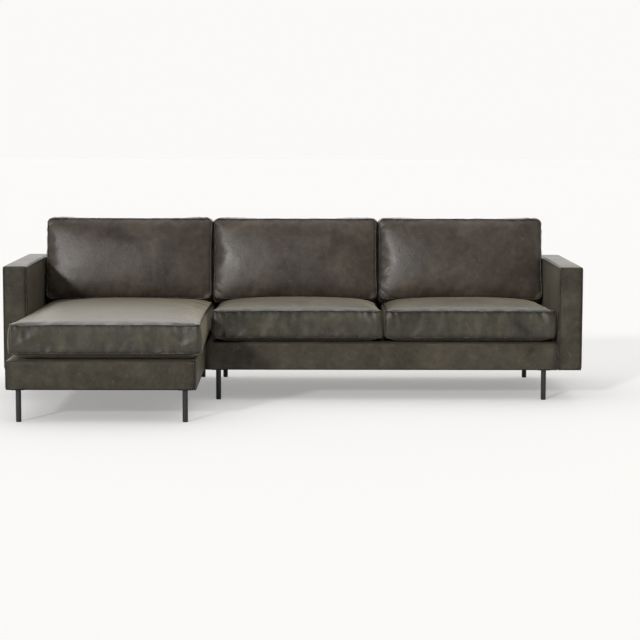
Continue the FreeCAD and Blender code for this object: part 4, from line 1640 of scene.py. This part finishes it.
@dataclass
class Upholstery:
    """Bases, arms and backs of the two sections."""

    base_front_swell: float = 3.5 * MM
    base_rear_swell: float = 2.1 * MM
    back_side_swell: float = 6 * MM
    back_top_swell: float = 3 * MM
    arm_outer_swell: float = 5 * MM
    arm_inner_swell: float = 3.5 * MM
    arm_front_swell: float = 4 * MM
    arm_rear_swell: float = 3 * MM
    arm_top_swell: float = 5 * MM
    # An arm's sides stay flat up to this height above the base.
    arm_still: float = 0.01
    # The arms are softer than the rest: rounder edges and deeper ripples.
    arm_radius: float = 0.014
    arm_step: float = 0.016
    arm_ripple: float = 2.4 * MM
    # The deck cloth's recess is this much wider than the cloth.
    recess_play: float = 2 * MM
    hole_play: float = 1 * MM
    # The tack: its end and its height from the base's corner, its run, fall and place in front.
    tack_end: float = 13 * MM
    tack_below: float = 11 * MM
    tack_run: float = 17 * MM
    tack_fall: float = 1 * MM
    tack_proud: float = 0.4 * MM
    base_seed: int = 11
    back_seed: int = 21
    arm_seed: int = 31
    # Half the room round a leg, in which all points belong to it.
    leg_room: float = 0.05
    boxes: list[PaddedBox] = field(default_factory=list)
    cloths: list[StretchedCloth] = field(default_factory=list)

    def build(self) -> None:
        """Make the skins of the bases, arms and backs."""
        for number, section in enumerate(("chaise", "two_seat")):
            self._add_base(section, number + self.base_seed)
            self._add_back(section, number + self.back_seed)
        for number, arm in enumerate(("left_arm", "right_arm")):
            self._add_arm(arm, number + self.arm_seed)
        for box in self.boxes:
            box.build()
        for cloth in self.cloths:
            cloth.build()

    def dress(self, finishes: Finishes) -> None:
        """Put the leather and the deck cloth on.

        Args:
            finishes: The sofa's materials.
        """
        for box in self.boxes:
            box.dress(finishes.body, finishes.piping)
        for cloth in self.cloths:
            cloth.dress(finishes)
        self._tack(finishes)

    def _add_base(self, section: str, seed: int) -> None:
        """Add a section's base, its deck cloth and the cloth under it.

        Args:
            section: The section's name.
            seed: Seed of the base's leather.
        """
        low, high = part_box(section + "_base_cover")
        deck_low, deck_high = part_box(section + "_deck_lining")
        play = self.recess_play
        self.boxes.append(PaddedBox(
            section + "_base", low, high,
            (section + "_base_cover", section + "_base_padding", section + "_deck_pad"), seed,
            swell={Side.FRONT: self.base_front_swell, Side.REAR: self.base_rear_swell},
            piped=tuple((face, (edge,)) for face in (Side.FRONT, Side.REAR)
                        for edge in (Side.LEFT, Side.RIGHT)),
            top_recess=((deck_low.x - play, deck_low.y - play),
                        (deck_high.x + play, deck_high.y + play))))
        self.cloths.append(StretchedCloth(
            section + "_deck_cloth", deck_low, deck_high, section + "_deck_lining",
            section + "_base"))
        low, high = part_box(section + "_underside_lining")
        self.cloths.append(StretchedCloth(
            section + "_underside_cloth", low, high, section + "_underside_lining",
            section + "_side_rails", holes=self._plate_holes(low, high), faces_down=True))

    def _add_back(self, section: str, seed: int) -> None:
        """Add a section's low back.

        Args:
            section: The section's name.
            seed: Seed of the back's leather.
        """
        low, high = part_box(section + "_back_cover")
        around = (Side.LEFT, Side.TOP, Side.RIGHT)
        self.boxes.append(PaddedBox(
            section + "_back", low, high, (section + "_back_cover", section + "_back_padding"),
            seed,
            swell={Side.FRONT: self.back_side_swell, Side.REAR: self.back_side_swell,
                   Side.TOP: self.back_top_swell},
            piped=((Side.FRONT, around), (Side.REAR, around))))

    def _add_arm(self, arm: str, seed: int) -> None:
        """Add an arm and the cloth under it.

        Args:
            arm: The arm's name.
            seed: Seed of the arm's leather.
        """
        low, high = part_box(arm + "_cover")
        left, right = self.arm_outer_swell, self.arm_inner_swell
        if arm == "right_arm":
            left, right = right, left
        around = (Side.FRONT, Side.TOP, Side.REAR)
        self.boxes.append(PaddedBox(
            arm, low, high, (arm + "_cover", arm + "_padding"), seed,
            swell={Side.LEFT: left, Side.RIGHT: right, Side.FRONT: self.arm_front_swell,
                   Side.REAR: self.arm_rear_swell, Side.TOP: self.arm_top_swell},
            piped=((Side.LEFT, around), (Side.RIGHT, around)), radius=self.arm_radius,
            step=self.arm_step, ripple=self.arm_ripple,
            still_below=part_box("two_seat_base_cover")[1].z + self.arm_still))
        low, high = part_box(arm + "_lining")
        self.cloths.append(StretchedCloth(
            arm + "_underside_cloth", low, high, arm + "_lining", arm + "_frame",
            faces_down=True))

    def _tack(self, finishes: Finishes) -> None:
        """Sew the short tack at the right end of the chaise's front, close under its top edge.

        Args:
            finishes: The sofa's materials.
        """
        low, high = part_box("chaise_base_cover")
        x, y, z = high.x - self.tack_end, low.y - self.tack_proud, high.z - self.tack_below
        path = np.array([(x - self.tack_run, y, z), (x, y, z - self.tack_fall)])
        tack = PathMaker(PathKind.STITCHES).lay(
            "chaise_base_tack", [path], closed=False, radius=0.9 * MM, step=8 * MM,
            length=5 * MM, finish=finishes.thread)
        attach(tack, "frame")

    def _plate_holes(self, low: Vector, high: Vector) -> tuple[tuple[Place, Place], ...]:
        """Find the holes that a lining has round the leg plates.

        Args:
            low: The lining's lowest corner.
            high: Its highest corner.

        Returns:
            Each hole's low and high corner.
        """
        half = (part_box("leg_tubes")[0].x + LEG_DIAMETER / 2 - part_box("leg_plates")[0].x
                + self.hole_play)
        places = np.array([v.co[:2] for v in frame["nodes"]["leg_tubes"].data.vertices])
        holes = []
        while len(places):
            of_leg = (np.abs(places - places[0]) < self.leg_room).all(axis=1)
            x, y = (places[of_leg].min(axis=0) + places[of_leg].max(axis=0)) / 2
            if low.x < x < high.x and low.y < y < high.y:
                holes.append(((x - half, y - half), (x + half, y + half)))
            places = places[~of_leg]
        return tuple(holes)


@dataclass(frozen=True)
class SeatCut:
    """What differs between the long seat cushion and the two others."""

    boxing: float
    belly: float
    step: float


@dataclass
class Cushions:
    """The loose seat and back cushions."""

    chaise_cut: SeatCut = SeatCut(boxing=0.126, belly=0.033, step=0.015)
    seat_cut: SeatCut = SeatCut(boxing=0.128, belly=0.025, step=0.013)
    seat_crown: float = 0.032
    seat_drop: float = 0.026
    seat_corner: float = 0.028
    seat_belly_run: float = 0.09
    seat_draw: float = 0.007
    seat_play: float = 1.5 * MM
    back_crown: float = 0.036
    back_depth: float = 0.162
    back_belly: float = 0.022
    back_belly_run: float = 0.07
    back_corner: float = 0.038
    # The backs' top edge bows outwards.
    back_top_draw: float = -0.004
    back_fullness: float = 3.2
    back_inset: float = 0.005
    back_bulge: float = 0.014
    back_cap: float = 0.014
    back_play: float = 3.6 * MM
    lean_degrees: float = 14.0
    # The low backs' rounded top edge, and the hair between it and the cushions.
    edge_radius: float = 0.009
    edge_gap: float = 0.0003
    # A cushion stands a hair above the seats, also a little past their outline.
    seat_gap: float = 1.2 * MM
    outline_play: float = 4 * MM
    corner_fold: Crease = Crease((0.012, 0.05), (0.05, 0.02), 0.004, 0.004, 0.0012)
    right_folds: tuple[Crease, ...] = (
        Crease((0.02, 0.09), (0.055, 0.13), -0.006, 0.005, 0.002),
        Crease((0.015, 0.06), (0.06, 0.075), 0.006, 0.005, 0.0018))
    seats: list[Cushion] = field(default_factory=list)
    backs: list[Cushion] = field(default_factory=list)

    def build(self) -> None:
        """Make the seat cushions first, then the back cushions that stand on them."""
        for seed, name in enumerate(("chaise_seat", "left_seat", "right_seat"), start=1):
            self.seats.append(self._seat(name, seed))
            self.seats[-1].build()
        for seed, name in enumerate(("chaise_back_cushion", "left_back_cushion",
                                     "right_back_cushion"), start=5):
            self.backs.append(self._back(name, seed))
            self.backs[-1].build()

    def dress(self, finishes: Finishes) -> None:
        """Put the leather and the piping on.

        Args:
            finishes: The sofa's materials.
        """
        for cushion in self.seats:
            cushion.dress(finishes.seat, finishes.piping)
        for cushion in self.backs:
            cushion.dress(finishes.back, finishes.piping)

    def _seat(self, name: str, seed: int) -> Cushion:
        """Size a seat cushion, which lies on its deck.

        Args:
            name: The cushion's name.
            seed: Its seed.

        Returns:
            The cushion, not yet built.
        """
        low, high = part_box(name + "_cover")
        cut = self.chaise_cut if name == "chaise_seat" else self.seat_cut
        shape = CushionShape(
            (low.x, low.y), (high.x, high.y), lower_seam=cut.belly,
            upper_seam=cut.belly + cut.boxing, drop=self.seat_drop, crown=self.seat_crown,
            belly=cut.belly, belly_run=self.seat_belly_run, corner=self.seat_corner,
            draws={side: self.seat_draw for side in Side}, step=cut.step)
        return Cushion(
            name, shape, Matrix.Translation((0, 0, low.z)), seed,
            floor=lambda points: np.full(len(points), low.z),
            side_limits=(low.x - self.seat_play, high.x + self.seat_play))

    def _back(self, name: str, seed: int) -> Cushion:
        """Size a back cushion, which stands on the seats and leans on the low back.

        Args:
            name: The cushion's name.
            seed: Its seed.

        Returns:
            The cushion, not yet built.
        """
        low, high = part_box(name + "_cover")
        lean = math.radians(self.lean_degrees)
        depth = self.back_depth
        shape = CushionShape(
            (low.x, -depth * math.tan(lean)),
            (high.x, (high.z - low.z - depth * math.sin(lean)) / math.cos(lean)),
            lower_seam=self.back_belly, upper_seam=depth, drop=0.0, crown=self.back_crown,
            belly=self.back_belly, belly_run=self.back_belly_run, corner=self.back_corner,
            draws={Side.REAR: self.back_top_draw}, fullness=self.back_fullness,
            inset=self.back_inset)
        placement = (Matrix.Translation((0, self._rear_plane(low.z), low.z))
                     @ Matrix.Rotation(math.pi / 2 - lean, 4, "X"))
        folds = self.right_folds if name == "right_back_cushion" else ()
        return Cushion(
            name, shape, placement, seed, floor=self._seat_tops,
            side_limits=(low.x - self.back_play, high.x + self.back_play),
            inflation=Inflation(cap=self.back_cap), creases=(self.corner_fold, *folds),
            bulge=self.back_bulge)

    def _rear_plane(self, height: float) -> float:
        """Find where the plane that the backs' rear lies on reaches a height.

        Args:
            height: The height.

        Returns:
            The plane's place along Y, clear of the low back's rounded edge.
        """
        lean = math.radians(self.lean_degrees)
        low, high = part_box("two_seat_back_cover")
        edge_y, edge_z = low.y + self.edge_radius, high.z - self.edge_radius
        return edge_y - ((self.edge_radius + self.edge_gap + (edge_z - height) * math.sin(lean))
                         / math.cos(lean))

    def _seat_tops(self, points: np.ndarray) -> np.ndarray:
        """Height of the seat cushions under each point.

        Args:
            points: Rows of x, y and z.

        Returns:
            Heights, a hair above the seats, and none at all beside them.
        """
        x, y, play = points[:, 0], points[:, 1], self.outline_play
        lowest = np.full(len(points), -np.inf)
        for seat in self.seats:
            shape = seat.shape
            inside = (x > shape.low[0] - play) & (x < shape.high[0] + play) & (y < shape.high[1])
            level = (shape.top_height(x, y) + seat.placement.translation.z
                     + self.seat_gap)
            lowest = np.where(inside, np.maximum(lowest, level), lowest)
        return lowest


@dataclass
class Skeleton:
    """What carries the sofa: legs, timber, webbing and connectors, as the frame has them."""

    nodes: dict[str, bpy.types.Object]

    def dress(self, finishes: Finishes) -> None:
        """Give every carried-over node its material.

        Args:
            finishes: The sofa's materials.
        """
        endings = {
            "_rails": finishes.pine, "_stretchers": finishes.pine, "_blocks": finishes.pine,
            "_frame": finishes.pine, "_panels": finishes.board, "_webbing": finishes.webbing,
            "_tubes": finishes.steel, "_plates": finishes.steel, "_glides": finishes.plastic,
            "_hooks": finishes.zinc, "_sockets": finishes.zinc, "_cover": finishes.body,
            "_lining": finishes.cloth, "_padding": finishes.cloth, "_pad": finishes.cloth,
            "_fill": finishes.cloth,
        }
        for name, node in self.nodes.items():
            node.data.materials.clear()
            node.data.materials.append(endings["_" + name.split("_")[-1]])
        log.info("frame nodes dressed: %d", len(self.nodes))


# Studio


@dataclass
class Studio:
    """Floor, light and camera."""

    backdrop: str = "#faf9f7"
    camera_place: Point = (0.0537, -9.1987, 1.3553)
    pitch_radians: float = 0.105
    yaw_radians: float = 0.0084
    roll_radians: float = 0.0025
    focal_mm: float = 105.8
    sensor_mm: float = 36.0
    key_direction: Point = (0.5, 1.0, -0.42)
    key_strength: float = 1.35
    key_angle_degrees: float = 5.0
    front_strength: float = 0.2
    rear_strength: float = 0.5
    overhead_strength: float = 0.75
    # What shiny surfaces see behind the sofa, as from a wide lit backdrop.
    rear_shine: float = 2.5
    # How much of the floor that the camera sees is its own glow, and how bright that is.
    floor_share: float = 0.28
    floor_glow: float = 1.165
    floor_half: float = 60.0
    # Light grows from the front to the rear, and upwards, between these parts of a direction.
    rear_span: Place = (-0.5, 0.7)
    overhead_span: Place = (0.2, 1.0)

    def build(self) -> None:
        """Make the floor, the lights, the world and the camera."""
        self._floor()
        self._lights()
        self._world()
        self._camera()
        bpy.context.scene.view_settings.view_transform = "Standard"

    def _floor(self) -> None:
        """Lay a wide pale floor that keeps the sofa's shadow."""
        half = self.floor_half
        floor = mesh_object("studio_floor", np.array([(-half, -half, 0), (half, -half, 0),
                                                      (half, half, 0), (-half, half, 0)]),
                            [(0, 1, 2, 3)])
        material, tree, shader, _ = new_material("pale_floor")
        shader.inputs["Base Color"].default_value = linear(self.backdrop)
        shader.inputs["Roughness"].default_value = 0.9
        shader.inputs["Specular IOR Level"].default_value = 0.1
        glow = add_node(tree, "ShaderNodeEmission", None,
                        {"Color": linear(self.backdrop), "Strength": self.floor_glow})
        path = add_node(tree, "ShaderNodeLightPath")
        share = add_node(tree, "ShaderNodeMath", {"operation": "MULTIPLY"},
                         {0: path.outputs["Is Camera Ray"], 1: self.floor_share})
        mixed = add_node(tree, "ShaderNodeMixShader", None,
                         {0: share.outputs[0], 1: shader.outputs["BSDF"],
                          2: glow.outputs["Emission"]})
        output = next(n for n in tree.nodes if n.type == "OUTPUT_MATERIAL")
        tree.links.new(mixed.outputs[0], output.inputs["Surface"])
        floor.data.materials.append(material)

    def _lights(self) -> None:
        """Set a key light at the front left."""
        sun = bpy.data.lights.new("key", "SUN")
        sun.energy = self.key_strength
        sun.angle = math.radians(self.key_angle_degrees)
        key = bpy.data.objects.new("key", sun)
        key.rotation_mode = "QUATERNION"
        key.rotation_quaternion = Vector(self.key_direction).to_track_quat("-Z", "Y")
        bpy.context.scene.collection.objects.link(key)

    def _world(self) -> None:
        """Fill the room with even light and show the backdrop's colour behind the sofa."""
        world = bpy.data.worlds.new("studio")
        bpy.context.scene.world = world
        world.use_nodes = True
        tree = world.node_tree
        tree.nodes.clear()
        path = add_node(tree, "ShaderNodeLightPath")
        seen = add_node(tree, "ShaderNodeMath", {"operation": "MAXIMUM"},
                        {0: path.outputs["Is Camera Ray"],
                         1: path.outputs["Is Transmission Ray"]})
        coords = add_node(tree, "ShaderNodeTexCoord")
        apart = add_node(tree, "ShaderNodeSeparateXYZ", None,
                         {"Vector": coords.outputs["Generated"]})
        behind = {"Value": apart.outputs["Y"], "From Min": self.rear_span[0],
                  "From Max": self.rear_span[1], "To Min": self.front_strength}
        rear, shine = [add_node(tree, "ShaderNodeMapRange",
                                {"interpolation_type": "SMOOTHSTEP"},
                                {**behind, "To Max": strength})
                       for strength in (self.rear_strength, self.rear_shine)]
        overhead = add_node(tree, "ShaderNodeMapRange", {"interpolation_type": "SMOOTHSTEP"},
                            {"Value": apart.outputs["Z"], "From Min": self.overhead_span[0],
                             "From Max": self.overhead_span[1], "To Min": 0.0,
                             "To Max": self.overhead_strength})
        strength = add_node(tree, "ShaderNodeMath", {"operation": "ADD"},
                            {0: rear.outputs["Result"], 1: overhead.outputs["Result"]})
        either = add_node(tree, "ShaderNodeMix", {"data_type": "FLOAT"},
                          {"Factor": path.outputs["Is Glossy Ray"], 2: strength.outputs[0],
                           3: shine.outputs["Result"]})
        light = add_node(tree, "ShaderNodeBackground", None,
                         {"Color": grey(1.0), "Strength": either.outputs[0]})
        shown = add_node(tree, "ShaderNodeBackground", None,
                         {"Color": linear(self.backdrop), "Strength": 1.0})
        mixed = add_node(tree, "ShaderNodeMixShader", None,
                         {0: seen.outputs[0], 1: light.outputs[0], 2: shown.outputs[0]})
        output = add_node(tree, "ShaderNodeOutputWorld")
        tree.links.new(mixed.outputs[0], output.inputs["Surface"])

    def _camera(self) -> None:
        """Set the camera at the photograph's place and angle."""
        data = bpy.data.cameras.new("camera")
        data.sensor_width = self.sensor_mm
        data.lens = self.focal_mm
        data.clip_start, data.clip_end = 0.1, 200
        camera = bpy.data.objects.new("camera", data)
        pitch, yaw, roll = self.pitch_radians, self.yaw_radians, self.roll_radians
        ahead = Vector((math.sin(yaw) * math.cos(pitch), math.cos(yaw) * math.cos(pitch),
                        -math.sin(pitch)))
        right = Vector((math.cos(yaw), -math.sin(yaw), 0))
        up = right.cross(ahead)
        side = right * math.cos(roll) + up * math.sin(roll)
        rise = side.cross(ahead)
        turn = Matrix((side, rise, -ahead)).transposed()
        camera.matrix_world = Matrix.Translation(self.camera_place) @ turn.to_4x4()
        bpy.context.scene.collection.objects.link(camera)
        bpy.context.scene.camera = camera


def main() -> None:
    """Build and dress the sofa."""
    logging.basicConfig(level=logging.INFO, format="%(name)s: %(message)s")
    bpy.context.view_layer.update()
    finishes = Finishes()
    Skeleton(frame["nodes"]).dress(finishes)
    upholstery = Upholstery()
    upholstery.build()
    upholstery.dress(finishes)
    cushions = Cushions()
    cushions.build()
    cushions.dress(finishes)
    Studio().build()


if __name__ == "__main__":
    main()
